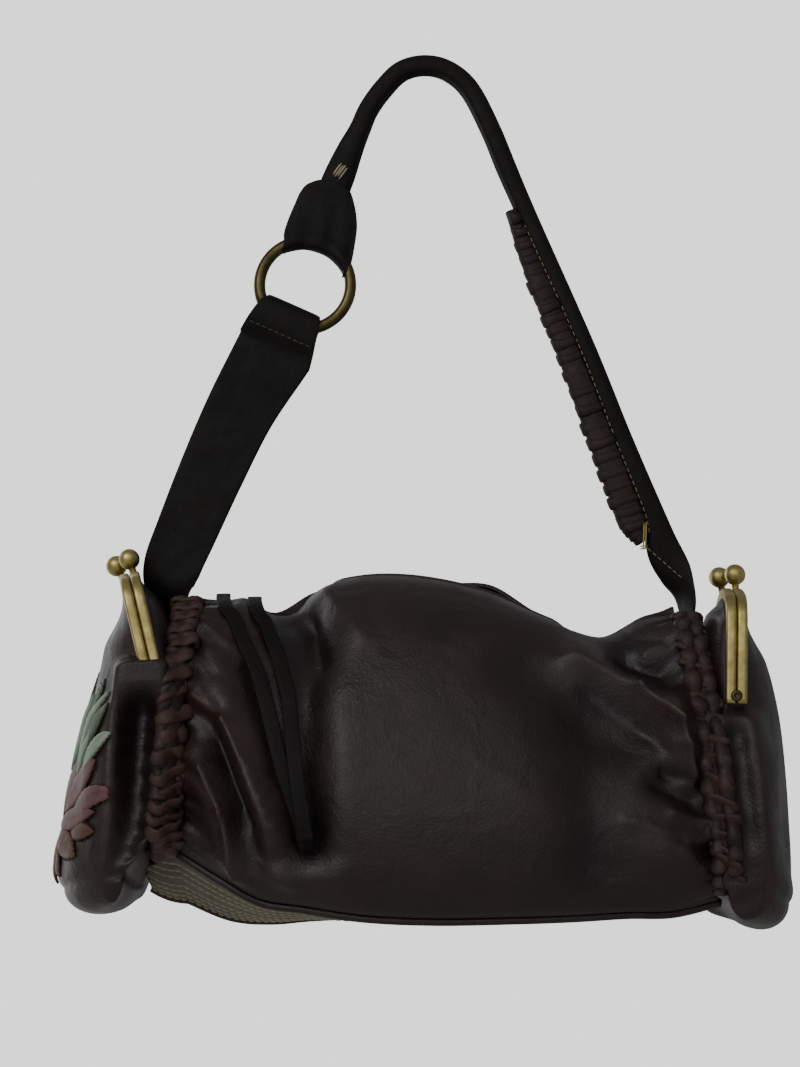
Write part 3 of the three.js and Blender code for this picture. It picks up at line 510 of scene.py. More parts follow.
def oval(sides, power):
    """Unit superellipse as corners counter-clockwise; a power below 1 squares it."""
    angle = 2 * math.pi * (np.arange(sides) + 0.5) / sides
    c, s = np.cos(angle), np.sin(angle)
    return np.stack((np.sign(c) * np.abs(c) ** power, np.sign(s) * np.abs(s) ** power), axis=-1)


def swept(path, wide, thin, profile):
    """Profile carried along a path: place plus first number times wide plus second times thin."""
    first, second = profile[..., 0:1], profile[..., 1:2]
    return path[..., None, :] + first * wide[..., None, :] + second * thin[..., None, :]


def grid_faces(rows, columns, wrap=False):
    """Quads of a grid numbered row by row; wrap joins the last column to the first."""
    i = np.arange(rows - 1)[:, None]
    j = np.arange(columns if wrap else columns - 1)[None, :]
    k = (j + 1) % columns
    corners = (i * columns + j, i * columns + k, (i + 1) * columns + k, (i + 1) * columns + j)
    return np.stack(np.broadcast_arrays(*corners), axis=-1).reshape(-1, 4)


def tubes(rings, closed=False):
    """Points and faces of tubes: each ring joined to the next by quads.

    Rings are given as tube, ring, corner and coordinate. A tube has flat caps, or is closed on itself.
    """
    if rings.ndim == 3:
        rings = rings[None]
    count, rows, sides, _ = rings.shape
    one = grid_faces(rows, sides, wrap=True)
    if closed:
        seam = (rows - 1) * sides + np.arange(sides)
        after = (np.arange(sides) + 1) % sides
        one = np.vstack((one, np.stack((seam, (rows - 1) * sides + after, after, np.arange(sides)), axis=-1)))
    shift = np.arange(count)[:, None, None] * rows * sides
    faces = (one[None] + shift).reshape(-1, 4).tolist()
    if not closed:
        low = (np.arange(sides)[::-1][None] + shift[:, 0]).tolist()
        high = ((rows - 1) * sides + np.arange(sides)[None] + shift[:, 0]).tolist()
        faces += low + high
    return rings.reshape(-1, 3), faces


def joined(*parts):
    """One list of points and faces from several."""
    points, faces, start = [], [], 0
    for some, polygons in parts:
        points.append(some)
        faces += [[corner + start for corner in polygon] for polygon in polygons]
        start += len(some)
    return np.concatenate(points), faces


def ribbon(rows, profile, y=0.0):
    """Profile carried along a table of places in the front plane, with the path and its wide direction.

    Wide is square to the way in that plane, turned about the way by the table's turn in degrees.
    """
    path = points_of(rows["x"], y, rows["z"])
    way = tangents(path * np.array((1, 0, 1)))
    side = points_of(-way[:, 2], 0.0, way[:, 0])
    turn = np.radians(rows["turn"])[:, None]
    wide = side * np.cos(turn) + np.cross(way, side) * np.sin(turn)
    return swept(path, wide, np.cross(way, wide), profile), path, wide


def looped(centre, out, side, reach_out, reach_side, count, sweep, width, thick, slant, dip, uneven, seed):
    """Loops of thong over an edge, each a part of a flattened ellipse round the seam, slanted along it.

    The middle of a loop sinks by the share dip, where the seam draws it in. Reach, place, slant and width
    differ from loop to loop by the share uneven. Gives the rings, and how far out each corner faces.
    """
    vary = np.random.default_rng(seed).uniform(-1, 1, (5, count, 1))
    i = np.linspace(0, len(centre) - 1, 2 * count + 1)[1::2].astype(int)
    angle = np.linspace(-sweep, sweep, 17)[None]
    c = np.sign(np.cos(angle)) * np.abs(np.cos(angle)) ** 0.75
    s = np.sign(np.sin(angle)) * np.abs(np.sin(angle)) ** 0.85
    sunk = 1 - dip * np.exp(-(angle / 0.5) ** 2)
    far, broad = (np.broadcast_to(reach, len(centre))[i][:, None] for reach in (reach_out, reach_side))
    far = far * (1 + 0.6 * uneven * vary[0])
    broad = broad * (1 + 0.5 * uneven * vary[1])
    out, side, way = out[i][:, None], side[i][:, None], tangents(centre)[i][:, None]
    path = centre[i][:, None] + out * (far * c * sunk)[..., None]
    path = path + side * (broad * s + 4 * uneven * vary[2])[..., None]
    path = path + way * (slant * (1 + 3 * uneven * vary[3]) * s)[..., None]
    along_path = tangents(path)
    thin = out * (c / far)[..., None] + side * (s / broad)[..., None]
    thin = unit(thin - along_path * (thin * along_path).sum(axis=-1, keepdims=True))
    wide = np.cross(thin, along_path)
    breadth = width * (1 + uneven * vary[4]) * (0.74 + 0.26 * np.maximum(c, 0))
    scale = np.stack(np.broadcast_arrays(breadth / 2, thick / 2), axis=-1)
    rings = swept(path, wide, thin, oval(10, 0.8)[None, None] * scale[:, :, None])
    return rings, np.broadcast_to(c[..., None], rings.shape[:3])


def ruched(centre, out, side, turns, shift, radius, full, seed):
    """Ruched edge beside a lacing: a tube that swells between the loops and dips under them.

    Its radius follows a power of a cosine, each lump of its own size. A share full of 1 gives round lumps,
    less gives low ones. Gives the rings, and a height for each of their corners: the lumps painted lighter,
    partly as a painted highlight, and the dips between them darker as painted shade.
    """
    share = np.linspace(0, 1, len(centre))
    vary = np.random.default_rng(seed).uniform(0.3, 1.4, (2, turns + 2))
    big, astray = (np.interp(share * turns + 0.5, np.arange(turns + 2), row) for row in vary)
    drift = share + 0.16 / turns * np.sin(9.0 * share + seed)
    lump = full * big * np.abs(np.cos(math.pi * turns * drift)) ** 1.6
    swell = radius * (1 - 0.26 * full + 0.26 * lump) * (1 + 0.3 * full * np.exp(-share / 0.12))
    aside, proud = shift * (0.7 + 0.3 * astray), 0.3 * radius * lump - 1.3
    path = centre + side * aside[:, None] + out * proud[:, None]
    thin = np.cross(tangents(centre), side)
    rings = swept(path, side, thin, oval(12, 0.95)[None] * swell[:, None, None])
    return rings, np.repeat(4.2 * lump - 2.2, 12)


def stitched(place, way, up, length, thick):
    """Stitches as small bent capsules: four rings of five corners, arched, with both ends sunk."""
    share = np.array((-0.5, -0.3, 0.3, 0.5))
    lift = np.array((-0.35, 0.35, 0.35, -0.35)) * thick
    radius = np.array((0.55, 1.0, 1.0, 0.55)) * thick / 2
    way, up = (unit(np.broadcast_to(vector, place.shape)) for vector in (way, up))
    path = place[:, None] + way[:, None] * (share * length)[None, :, None] + up[:, None] * lift[None, :, None]
    across = np.cross(up, way)
    wide = np.broadcast_to(across[:, None], path.shape)
    thin = np.broadcast_to(np.cross(way, across)[:, None], path.shape)
    return tubes(swept(path, wide, thin, oval(5, 1.0)[None, None] * radius[None, :, None, None]))


def lathe(foot, axis, heights, radii, sides):
    """Turned form: circles of the given radii at the given heights along an axis."""
    axis = unit(np.asarray(axis, float))
    wide = unit(np.cross(axis, (0.31, 0.87, 0.12)))
    thin = np.cross(axis, wide)
    path = np.asarray(foot, float) + axis * np.asarray(heights, float)[:, None]
    profile = oval(sides, 1.0)[None] * np.asarray(radii, float)[:, None, None]
    wide, thin = (np.broadcast_to(vector, path.shape) for vector in (wide, thin))
    return tubes(swept(path, wide, thin, profile))


def facing(points, faces, centre):
    """Quads turned so that the sheet faces away from a centre."""
    a, b, c, d = (points[faces[:, k]] for k in range(4))
    normal = np.cross(c - a, d - b)
    away = (a + b + c + d) / 4 - centre
    return faces if (normal * away).sum() > 0 else faces[:, ::-1]


def piece(name, points, faces, material, slot, replaces=(), body="bag", weld=0.0, wall=0.0, fold=None):
    """Mesh object from points in millimetres, riding on a body.

    Points closer than weld are merged, and wall is the thickness inwards in metres. Fold is a height that
    each point keeps as an attribute, for the leather to read.
    """
    mesh = bpy.data.meshes.new(name)
    polygons = faces.tolist() if isinstance(faces, np.ndarray) else faces
    mesh.from_pydata((points * MM).tolist(), [], polygons)
    values = np.zeros(len(points)) if fold is None else fold
    mesh.attributes.new("fold", "FLOAT", "POINT").data.foreach_set("value", values.astype(np.float32))
    if weld:
        work = bmesh.new()
        work.from_mesh(mesh)
        bmesh.ops.remove_doubles(work, verts=work.verts, dist=weld * MM)
        bmesh.ops.dissolve_degenerate(work, edges=work.edges, dist=weld * MM * 0.5)
        work.to_mesh(mesh)
        work.free()
    mesh.polygons.foreach_set("use_smooth", np.ones(len(mesh.polygons), dtype=bool))
    mesh.materials.append(material)
    mesh.validate()
    mesh.update()
    obj = bpy.data.objects.new(name, mesh)
    bpy.context.scene.collection.objects.link(obj)
    if wall:
        solid = obj.modifiers.new("wall", "SOLIDIFY")
        solid.thickness = wall
        solid.offset = -1
    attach(obj, body)
    if replaces:
        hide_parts(*replaces)
    return obj


# Materials

def add_node(tree, kind, sockets=None, **settings):
    """Adds a node with its settings; sockets gives each input a value or the output it is linked from."""
    made = tree.nodes.new(kind)
    for key, value in settings.items():
        setattr(made, key, value)
    for key, value in (sockets or {}).items():
        if isinstance(value, bpy.types.NodeSocket):
            tree.links.new(value, made.inputs[key])
        else:
            made.inputs[key].default_value = value
    return made


def new_material(name):
    """Empty node material and its tree."""
    material = bpy.data.materials.new(name)
    material.use_nodes = True
    material.node_tree.nodes.clear()
    return material, material.node_tree


def rgba(colour):
    """Linear colour with alpha."""
    return (*colour, 1.0)


def leather(name, colour, ridge, roughness, grain, crease, coat=0.0, shine=0.5, mottle=0.03):
    """Chrome-tanned hide, drummed soft and finished by hand.

    Its dye is uneven, so the colour drifts over a few centimetres. The fold value moves the colour towards
    the ridge colour: ridges are lighter, partly as the hide's own rubbed ridges and partly as a painted
    highlight, and hollows darker as painted shade. Pores and fine creases break up the gloss. In metres,
    grain is the pore spacing, crease the crease spacing and mottle the size of the dye's patches.
    """
    if name in bpy.data.materials:
        return bpy.data.materials[name]
    material, tree = new_material(name)
    place = add_node(tree, "ShaderNodeTexCoord").outputs["Object"]
    drift = add_node(tree, "ShaderNodeTexNoise", {
        "Vector": place, "Scale": 1 / mottle, "Detail": 4.0, "Roughness": 0.6})
    fine = add_node(tree, "ShaderNodeTexNoise", {
        "Vector": place, "Scale": 0.6 / crease, "Detail": 6.0, "Roughness": 0.65})
    fold = add_node(tree, "ShaderNodeAttribute", attribute_name="fold")
    # The fold value paints the colour: darker in hollows as painted shade, lighter on ridges partly as a
    # painted highlight
    raised = add_node(tree, "ShaderNodeMapRange", {
        "Value": fold.outputs["Fac"], "From Min": -4.0, "From Max": 5.0, "To Min": 0.05, "To Max": 0.62})
    spread = add_node(tree, "ShaderNodeMapRange", {
        "Value": drift.outputs["Fac"], "From Min": 0.3, "From Max": 0.72, "To Min": -0.16, "To Max": 0.24})
    share = add_node(tree, "ShaderNodeMath", {
        0: raised.outputs[0], 1: spread.outputs[0]}, operation="ADD", use_clamp=True)
    dyed_and_shaded = add_node(tree, "ShaderNodeMix", {
        0: share.outputs[0], 6: rgba(colour), 7: rgba(ridge)}, data_type="RGBA")
    tone_shift = add_node(tree, "ShaderNodeMapRange", {
        "Value": fine.outputs["Fac"], "From Min": 0.35, "From Max": 0.7, "To Min": 0.82, "To Max": 1.16})
    shade = add_node(tree, "ShaderNodeVectorMath", {
        0: dyed_and_shaded.outputs[2], 1: tone_shift.outputs[0]}, operation="MULTIPLY")
    gloss = add_node(tree, "ShaderNodeMapRange", {
        "Value": fine.outputs["Fac"], "From Min": 0.3, "From Max": 0.7,
        "To Min": roughness - 0.09, "To Max": roughness + 0.13})
    pores = add_node(tree, "ShaderNodeTexVoronoi", {
        "Vector": place, "Scale": 1 / grain, "Randomness": 0.9}, feature="DISTANCE_TO_EDGE")
    pore = add_node(tree, "ShaderNodeMapRange", {
        "Value": pores.outputs["Distance"], "From Min": 0.0, "From Max": 0.22, "To Min": 0.0, "To Max": 1.0})
    veins = add_node(tree, "ShaderNodeTexNoise", {
        "Vector": place, "Scale": 1 / crease, "Detail": 3.0, "Roughness": 0.5, "Distortion": 0.8})
    creased = add_node(tree, "ShaderNodeBump", {
        "Strength": 0.55, "Distance": crease * 0.12, "Height": veins.outputs["Fac"]})
    grained = add_node(tree, "ShaderNodeBump", {
        "Strength": 0.28, "Distance": grain * 0.12, "Height": pore.outputs[0], "Normal": creased.outputs[0]})
    surface = add_node(tree, "ShaderNodeBsdfPrincipled", {
        "Base Color": shade.outputs[0], "Roughness": gloss.outputs[0], "Normal": grained.outputs[0],
        "Coat Weight": coat, "Coat Roughness": 0.3, "IOR": 1.48, "Specular IOR Level": shine})
    add_node(tree, "ShaderNodeOutputMaterial", {"Surface": surface.outputs[0]})
    return material


def brass(name, colour, tarnish, roughness):
    """Cast and tumbled brass, left to age: a warm metal with olive tarnish and fine rubbed scratches.

    The tarnish lies in patches of about 7 mm, and the scratches are about 1.6 mm apart.
    """
    if name in bpy.data.materials:
        return bpy.data.materials[name]
    material, tree = new_material(name)
    place = add_node(tree, "ShaderNodeTexCoord").outputs["Object"]
    patch = add_node(tree, "ShaderNodeTexNoise", {
        "Vector": place, "Scale": 1 / 0.007, "Detail": 5.0, "Roughness": 0.6})
    rub = add_node(tree, "ShaderNodeTexNoise", {
        "Vector": place, "Scale": 1 / 0.0016, "Detail": 3.0, "Roughness": 0.6})
    aged = add_node(tree, "ShaderNodeMapRange", {
        "Value": patch.outputs["Fac"], "From Min": 0.36, "From Max": 0.68, "To Min": 0.0, "To Max": 0.8})
    tinted = add_node(tree, "ShaderNodeMix", {
        0: aged.outputs[0], 6: rgba(colour), 7: rgba(tarnish)}, data_type="RGBA")
    dull = add_node(tree, "ShaderNodeMapRange", {
        "Value": patch.outputs["Fac"], "From Min": 0.3, "From Max": 0.7,
        "To Min": roughness - 0.08, "To Max": roughness + 0.14})
    dent = add_node(tree, "ShaderNodeBump", {
        "Strength": 0.18, "Distance": 0.0002, "Height": rub.outputs["Fac"]})
    surface = add_node(tree, "ShaderNodeBsdfPrincipled", {
        "Base Color": tinted.outputs[2], "Metallic": 1.0, "Roughness": dull.outputs[0],
        "Normal": dent.outputs[0]})
    add_node(tree, "ShaderNodeOutputMaterial", {"Surface": surface.outputs[0]})
    return material


def thread(name, colour, shadow):
    """Twisted linen thread, waxed: a soft fuzzy gloss, darker by the share shadow between the plies.

    A ply is about 0.3 mm, drawn here at 0.9 mm so that it shows.
    """
    if name in bpy.data.materials:
        return bpy.data.materials[name]
    material, tree = new_material(name)
    place = add_node(tree, "ShaderNodeTexCoord").outputs["Object"]
    ply = add_node(tree, "ShaderNodeTexNoise", {
        "Vector": place, "Scale": 1 / 0.0009, "Detail": 2.0, "Roughness": 0.6})
    dip = rgba([shadow * value for value in colour])
    tinted = add_node(tree, "ShaderNodeMix", {
        0: ply.outputs["Fac"], 6: dip, 7: rgba(colour)}, data_type="RGBA")
    twist = add_node(tree, "ShaderNodeBump", {
        "Strength": 0.5, "Distance": 0.0002, "Height": ply.outputs["Fac"]})
    surface = add_node(tree, "ShaderNodeBsdfPrincipled", {
        "Base Color": tinted.outputs[2], "Roughness": 0.62, "Normal": twist.outputs[0], "Sheen Weight": 0.2})
    add_node(tree, "ShaderNodeOutputMaterial", {"Surface": surface.outputs[0]})
    return material


def painted_floor(colour):
    """Matt painted board: pale, with a faint roller texture of about 30 mm that only softens the light."""
    material, tree = new_material("matt_painted_floor")
    place = add_node(tree, "ShaderNodeTexCoord").outputs["Object"]
    roll = add_node(tree, "ShaderNodeTexNoise", {"Vector": place, "Scale": 1 / 0.03, "Detail": 3.0})
    tone = add_node(tree, "ShaderNodeMapRange", {
        "Value": roll.outputs["Fac"], "To Min": 0.98, "To Max": 1.02})
    shade = add_node(tree, "ShaderNodeVectorMath", {0: colour, 1: tone.outputs[0]}, operation="MULTIPLY")
    surface = add_node(tree, "ShaderNodeBsdfPrincipled", {"Base Color": shade.outputs[0], "Roughness": 0.85})
    add_node(tree, "ShaderNodeOutputMaterial", {"Surface": surface.outputs[0]})
    return material


def body_leather():
    """Glazed pull-up hide of the body: dark brown, oiled and polished, lighter where a ridge pulls it;
    painted highlight on ridges, painted shade in folds.
    """
    colours = bpy.context.scene.bag_colours
    return leather("glazed_pull_up_leather", colours.body, colours.body_ridge, roughness=0.43,
                   grain=0.0018, crease=0.011, coat=0.07, shine=0.42)


def strap_leather():
    """Waxed strap hide: nearly black brown, satin, with burnished faces and a tight grain."""
    colours = bpy.context.scene.bag_colours
    return leather("waxed_strap_leather", colours.strap, colours.strap_ridge, roughness=0.56,
                   grain=0.0014, crease=0.008, shine=0.2)


def base_leather():
    """Ribbed base hide: a strap hide, its pale olive brown a painted reflection of the light from below,
    paler along its stitched ribs as a painted sheen.
    """
    colours = bpy.context.scene.bag_colours
    return leather("rubbed_base_leather", colours.base, colours.base_rib_sheen, roughness=0.5,
                   grain=0.0014, crease=0.008, shine=0.35)


def thong_leather():
    """Cut thong of latigo hide: reddish brown and oily, lighter on each loop's crest, darker where it turns
    into the seam as painted shade.
    """
    colours = bpy.context.scene.bag_colours
    return leather("oiled_latigo_thong", colours.thong, colours.thong_ridge, roughness=0.5,
                   grain=0.0014, crease=0.006, shine=0.3, mottle=0.012)


def dark_thong_leather():
    """Handled thong of latigo hide: the same hide darkened by hands, nearly as dark as the strap."""
    colours = bpy.context.scene.bag_colours
    tone, edge = ([0.62 * value for value in colour] for colour in (colours.thong, colours.thong_ridge))
    return leather("handled_latigo_thong", tone, edge, roughness=0.52,
                   grain=0.0014, crease=0.006, shine=0.28, mottle=0.012)


def ruched_leather():
    """Edge of the body hide, wetted and drawn up by the lacing: soft, reddish with a painted highlight on its
    lumps, painted shade between them, little gloss.
    """
    colours = bpy.context.scene.bag_colours
    return leather("drawn_up_hide_edge", colours.body, colours.thong_ridge, roughness=0.5,
                   grain=0.0016, crease=0.006, shine=0.35, mottle=0.012)


def leaf_leather(name):
    """Dyed leaf hide: thin, matt and mottled, its dye darker in the vein and rubbed paler outside it."""
    tone = getattr(bpy.context.scene.bag_colours, name)
    vein, rubbed = [0.6 * value for value in tone], [min(1, 1.35 * value) for value in tone]
    return leather(f"dyed_{name}_leather", vein, rubbed, roughness=0.5,
                   grain=0.0014, crease=0.005, coat=0.05, shine=0.4, mottle=0.008)


def gold_thread():
    """Gold linen thread, waxed: a soft pale gold that stands out on dark hide."""
    return thread("waxed_gold_thread", bpy.context.scene.bag_colours.gold_thread, 0.55)


# Sizes and colours that a user would change

def length_property(name, description, millimetres):
    """Length property in metres."""
    return FloatProperty(
        name=name, description=description, default=millimetres * MM, min=0, unit="LENGTH", precision=5)


def count_property(name, description, count, least):
    """Whole number property."""
    return IntProperty(name=name, description=description, default=count, min=least)


def colour_property(name, description, code):
    """Colour property from an sRGB hex value."""
    return FloatVectorProperty(
        name=name, description=description, default=linear(code), subtype="COLOR", size=3, min=0, max=1)


class BagSizes(bpy.types.PropertyGroup):
    """Sizes of the bag's trim."""
    wall: length_property("Leather wall", "Thickness of the body and purse leather", 1.8)
    pleats: count_property("Pleats", "Small pleats around each gathered end", 23, 0)
    pleat_depth: length_property("Pleat depth", "Height of the small pleats at the laced ends", 0.8)
    thong_width: length_property("Thong width", "Width of the lacing thong", 4.0)
    thong_thick: length_property("Thong thickness", "Thickness of the lacing thong", 1.7)
    lacing_turns: count_property("Lacing turns", "Turns of the thong down each wall of an end", 19, 4)
    handle_turns: count_property("Handle turns", "Turns of the thong along the handle", 27, 4)
    stitch_length: length_property("Stitch length", "Length of one stitch", 3.0)
    stitch_thick: length_property("Thread thickness", "Thickness of the sewing thread", 0.55)
    tie_width: length_property("Tie width", "Width of the two hanging thongs", 6.0)
    floor_drop: length_property("Floor drop", "Free height between the bag and the floor", 330.0)


class BagColours(bpy.types.PropertyGroup):
    """Colours of the bag's materials."""
    # Each hide has a colour for its hollows and one for its ridges; the body's folds are darkened towards its
    # hollow colour as painted shade, and its ridges lightened partly as a painted highlight
    body: colour_property("Body leather", "Body leather in the hollows", "#150d0b")
    body_ridge: colour_property("Body leather ridge", "Body leather where it is rubbed", "#392823")
    # The base's pale olive colours are a painted reflection, paler along its ribs as a painted sheen
    base: colour_property("Base leather", "Base leather in the hollows", "#3f382b")
    base_rib_sheen: colour_property("Base leather ridge", "Base leather along its ribs", "#7a6f5a")
    strap: colour_property("Strap leather", "Strap leather in the hollows", "#080605")
    strap_ridge: colour_property("Strap leather ridge", "Strap leather where it is rubbed", "#1c1713")
    # The thong's colours paint its loops darker where they turn into the seam, as painted shade; its ridge
    # colour also tops the ruched lumps
    thong: colour_property("Thong", "Lacing thong", "#281c19")
    thong_ridge: colour_property("Thong ridge", "Lacing thong where it is rubbed", "#543d39")
    brass: colour_property("Frame brass", "Brass of the purse frames", "#c2b274")
    brass_tarnish: colour_property("Frame tarnish", "Tarnish of the purse frames", "#8a7c4d")
    ring: colour_property("Ring brass", "Brass of the ring", "#60563b")
    ring_tarnish: colour_property("Ring tarnish", "Tarnish of the ring", "#342e1f")
    gold_thread: colour_property("Gold thread", "Topstitching of the base and tack of the tab", "#b3a684")
    yellow_thread: colour_property("Yellow thread", "Bar tack of the handle", "#b8a640")
    cream_thread: colour_property("Cream thread", "Stitching along the handle", "#9d916e")
    dark_thread: colour_property("Dark thread", "Stitching across the strap", "#4f463e")
    moss: colour_property("Moss leaf", "Green leaves on the left purse", "#4d5a43")
    mint: colour_property("Mint leaf", "Pale leaves on the left purse", "#8fa08c")
    rose: colour_property("Rose leaf", "Rose leaves on the left purse", "#694746")
    rust: colour_property("Rust leaf", "Rust leaves on the left purse", "#5a3c2f")
    floor: colour_property("Floor", "Pale floor", "#d3d3d1")


# Operators

class BAG_OT_stage(bpy.types.Operator):
    """Camera, pale floor and soft light"""
    bl_idname = "bag.stage"
    bl_label = "Stage"

    def execute(self, context):
        scene = context.scene
        lens = bpy.data.cameras.new("camera")
        lens.sensor_width = 36.0
        lens.lens = FOCAL_PIXELS * lens.sensor_width / PHOTO_HEIGHT
        lens.clip_end = 60
        camera = bpy.data.objects.new("camera", lens)
        camera.location = CAMERA_PLACE
        camera.rotation_euler = (math.radians(CAMERA_TILT), 0, 0)
        scene.collection.objects.link(camera)
        scene.camera = camera

        # The floor is a flat square below the bag
        level = CAD_BOX[0][2] - scene.bag_sizes.floor_drop
        corners = [(1.35 * x, 1.35 * y, level) for x, y in ((-1, -1), (1, -1), (1, 1), (-1, 1))]
        mesh = bpy.data.meshes.new("floor")
        mesh.from_pydata(corners, [], [(0, 1, 2, 3)])
        mesh.materials.append(painted_floor(scene.bag_colours.floor))
        floor = bpy.data.objects.new("floor", mesh)
        scene.collection.objects.link(floor)

        for number, lamp in enumerate(LAMPS):
            light = bpy.data.lights.new(f"softbox_{number}", "AREA")
            light.shape = "RECTANGLE"
            light.size, light.size_y = lamp["wide"], lamp["tall"]
            light.energy = lamp["power"]
            softbox = bpy.data.objects.new(f"softbox_{number}", light)
            softbox.location = (lamp["x"], lamp["y"], lamp["z"])
            back = unit(np.array((lamp["x"], lamp["y"], lamp["z"])) - LAMP_AIM)
            softbox.rotation_euler = (math.acos(back[2]), 0, math.atan2(back[0], -back[1]))
            scene.collection.objects.link(softbox)

        # The room shows pale behind the bag, and lights it less than it shows
        world = bpy.data.worlds.new("pale_room")
        world.use_nodes = True
        tree = world.node_tree
        tree.nodes.clear()
        pale, white = rgba(linear("#d3d3d1")), rgba(linear("#f2f3f4"))
        seen = add_node(tree, "ShaderNodeBackground", {"Color": pale, "Strength": ROOM_SEEN})
        lit = add_node(tree, "ShaderNodeBackground", {"Color": white, "Strength": ROOM_LIT})
        ray = add_node(tree, "ShaderNodeLightPath")
        both = add_node(tree, "ShaderNodeMixShader", {
            0: ray.outputs["Is Camera Ray"], 1: lit.outputs[0], 2: seen.outputs[0]})
        add_node(tree, "ShaderNodeOutputWorld", {"Surface": both.outputs[0]})
        scene.world = world
        return {"FINISHED"}


class BAG_OT_ties(bpy.types.Operator):
    """Two flat thongs that hang over the front"""
    bl_idname = "bag.ties"
    bl_label = "Ties"

    def execute(self, context):
        # A squared oval carried along the smooth curve through the route's points, its width level along X
        width = context.scene.bag_sizes.tie_width / MM
        section = oval(14, 0.4)
        cut_edge = 2.5 * np.abs(section[:, 0]) - 0.5
        for name, rows in TIES.items():
            fine = refined(rows, 70)
            path = points_of(fine["x"], fine["y"], fine["z"])
            way = tangents(path)
            wide = unit(np.array((1.0, 0, 0)) - way * way[:, 0:1])
            thin = np.cross(way, wide)
            rings = swept(path, wide, thin, section * np.array((width / 2, TIE_THICK / 2)))
            obj = piece(name, *tubes(rings), strap_leather(), "leather_strap", [name],
                        fold=np.tile(cut_edge, len(path)))
        return {"FINISHED"}


def body_shape(sizes):
    """Folded body as a grid, front half first: plain wrap plus folds, creases and pleats along its normal.

    Front and back start at the mouth's lip, where depth equals the mouth's half width. A pleat is a cosine
    around the section that dies out away from the laced end, with a reach that drifts around the section.
    The top edge rises in bells along the bag, and sinks where its two halves are sewn together.
    """
    zone = 26
    ends = zone * np.linspace(0, 1, 37)[:-1] ** 1.15
    middle = np.linspace(FIRST + zone, LAST - zone, 64)
    x = np.concatenate((FIRST + ends, middle, (LAST - ends)[::-1]))[:, None]
    half = along(STATIONS, "x", "half", x)
    fine = np.linspace(0, 0.25, 80)
    lip = np.interp(mouth_half(x) / half, catmull(HALF_SECTION["across"], fine), fine)
    limit = 1 - SEAM
    share = mix(lip, limit, np.linspace(0, 1, 146)[None])
    around = np.concatenate((-share[:, ::-1], share), axis=1)
    x = np.broadcast_to(x, around.shape)

    point = wrap_point(x, around)
    step = 0.006
    down = wrap_point(x, np.clip(around + step, -1, 1)) - wrap_point(x, np.clip(around - step, -1, 1))
    onward = wrap_point(np.minimum(x + 0.5, LAST), around) - wrap_point(np.maximum(x - 0.5, FIRST), around)
    normal = unit(np.cross(onward, down))
    normal *= np.sign((normal * (point - np.array((0, 0, END_HEIGHT)))).sum())

    turn = around / limit
    calm = smooth(1 - np.abs(turn), 0, 0.16)
    front = point[..., 1] < 0
    height = np.where(front, fold_height(point, FRONT_FOLDS), fold_height(point, BACK_FOLDS))
    crease = np.where(front, fold_height(point, FRONT_CREASES, True), fold_height(point, BACK_CREASES, True))
    nearest = np.minimum(x - FIRST, LAST - x)
    gather = GATHER["depth"] * np.cos(2 * math.pi * GATHER["count"] * turn)
    gather = gather * np.exp(-nearest / GATHER["reach"])
    reach = 11 + 4 * np.sin(9.1 * turn + 0.4) + 3 * np.sin(17.3 * turn + np.sign(x))
    drift = turn + 0.03 * np.sin(7.7 * turn + 0.02 * x)
    depth = sizes.pleat_depth / MM
    pleat = depth * np.cos(2 * math.pi * sizes.pleats / 2 * drift) * np.exp(-nearest / reach)
    pleat += 0.8 * depth * np.cos(2 * math.pi * sizes.pleats * turn + 0.7) * np.exp(-nearest / 5)
    height = calm * (height + crease + gather + pleat)
    point = point + normal * height[..., None]

    for rise in TOP_RISES:
        bell = rise["height"] * np.exp(-((x - rise["x"]) / rise["breadth"]) ** 2)
        bell = bell * smooth(rise["reach"] - np.abs(turn), 0, rise["reach"])
        point[..., 2] += bell * (turn > 0) if rise["back"] else bell
    point[..., 2] -= 2.4 * np.exp(-np.abs(turn) / 0.06) * (1 - np.minimum(1, mouth_half(x)))
    for side, row in ((-1, 0), (1, -1)):
        point[row, :, 0] = end_plane(side, point[row, :, 2])
    return point, height


class BAG_OT_body(bpy.types.Operator):
    """Gathered body wrap with its open mouth"""
    bl_idname = "bag.body"
    bl_label = "Body"

    def execute(self, context):
        sizes = context.scene.bag_sizes
        point, height = body_shape(sizes)
        rows, columns = height.shape
        faces = grid_faces(rows, columns)
        middle = columns // 2 - 1
        faces = faces[faces[:, 0] % columns != middle]
        flat = point.reshape(-1, 3)
        faces = facing(flat, faces, np.array((0, 0, END_HEIGHT)))
        # Its fold heights colour it: ridges lighter as pulled leather with a painted highlight, folds and
        # creases darker as painted shade
        piece("body_wrap_leather", flat, faces, body_leather(), "leather_body", ["body_wrap"],
              weld=0.02, wall=sizes.wall, fold=height.ravel())

        # The mouth's edge is a circle that tapers at both ends, carried along the front lip
        lip = point[:, middle]
        open_part = (lip[:, 0] > MOUTH["from"] - 2) & (lip[:, 0] < MOUTH["to"] + 2)
        path = lip[open_part] + np.array((0, 0.9, -0.2))
        way = tangents(path)
        wide = unit(np.cross(way, (0, 0, 1.0)))
        thin = np.cross(way, wide)
        radius = 1.15 * np.sin(np.linspace(0, math.pi, len(path))) ** 0.3
        section = oval(10, 1.0)
        rings = swept(path, wide, thin, section[None] * radius[:, None, None])
        # The lip's edge is painted in a lighter tone along its whole length, as a painted highlight
        piece("mouth_edge", *tubes(rings), body_leather(), "leather_body",
              fold=np.full(len(path) * len(section), 4.0))
        return {"FINISHED"}


def base_past(around):
    """Length of the base past the body's left end: short at the front piping, full from the middle back."""
    return mix(BASE["past_front"], BASE["past_back"], smooth(around, -1.0, 0.0))


def base_skin(x, around):
    """Base panel with its left end curled up towards the purse, as a parabola."""
    point = base_point(x, around)
    point[..., 2] += BASE["curl"] * np.maximum(0, FIRST - x) ** 2
    return point


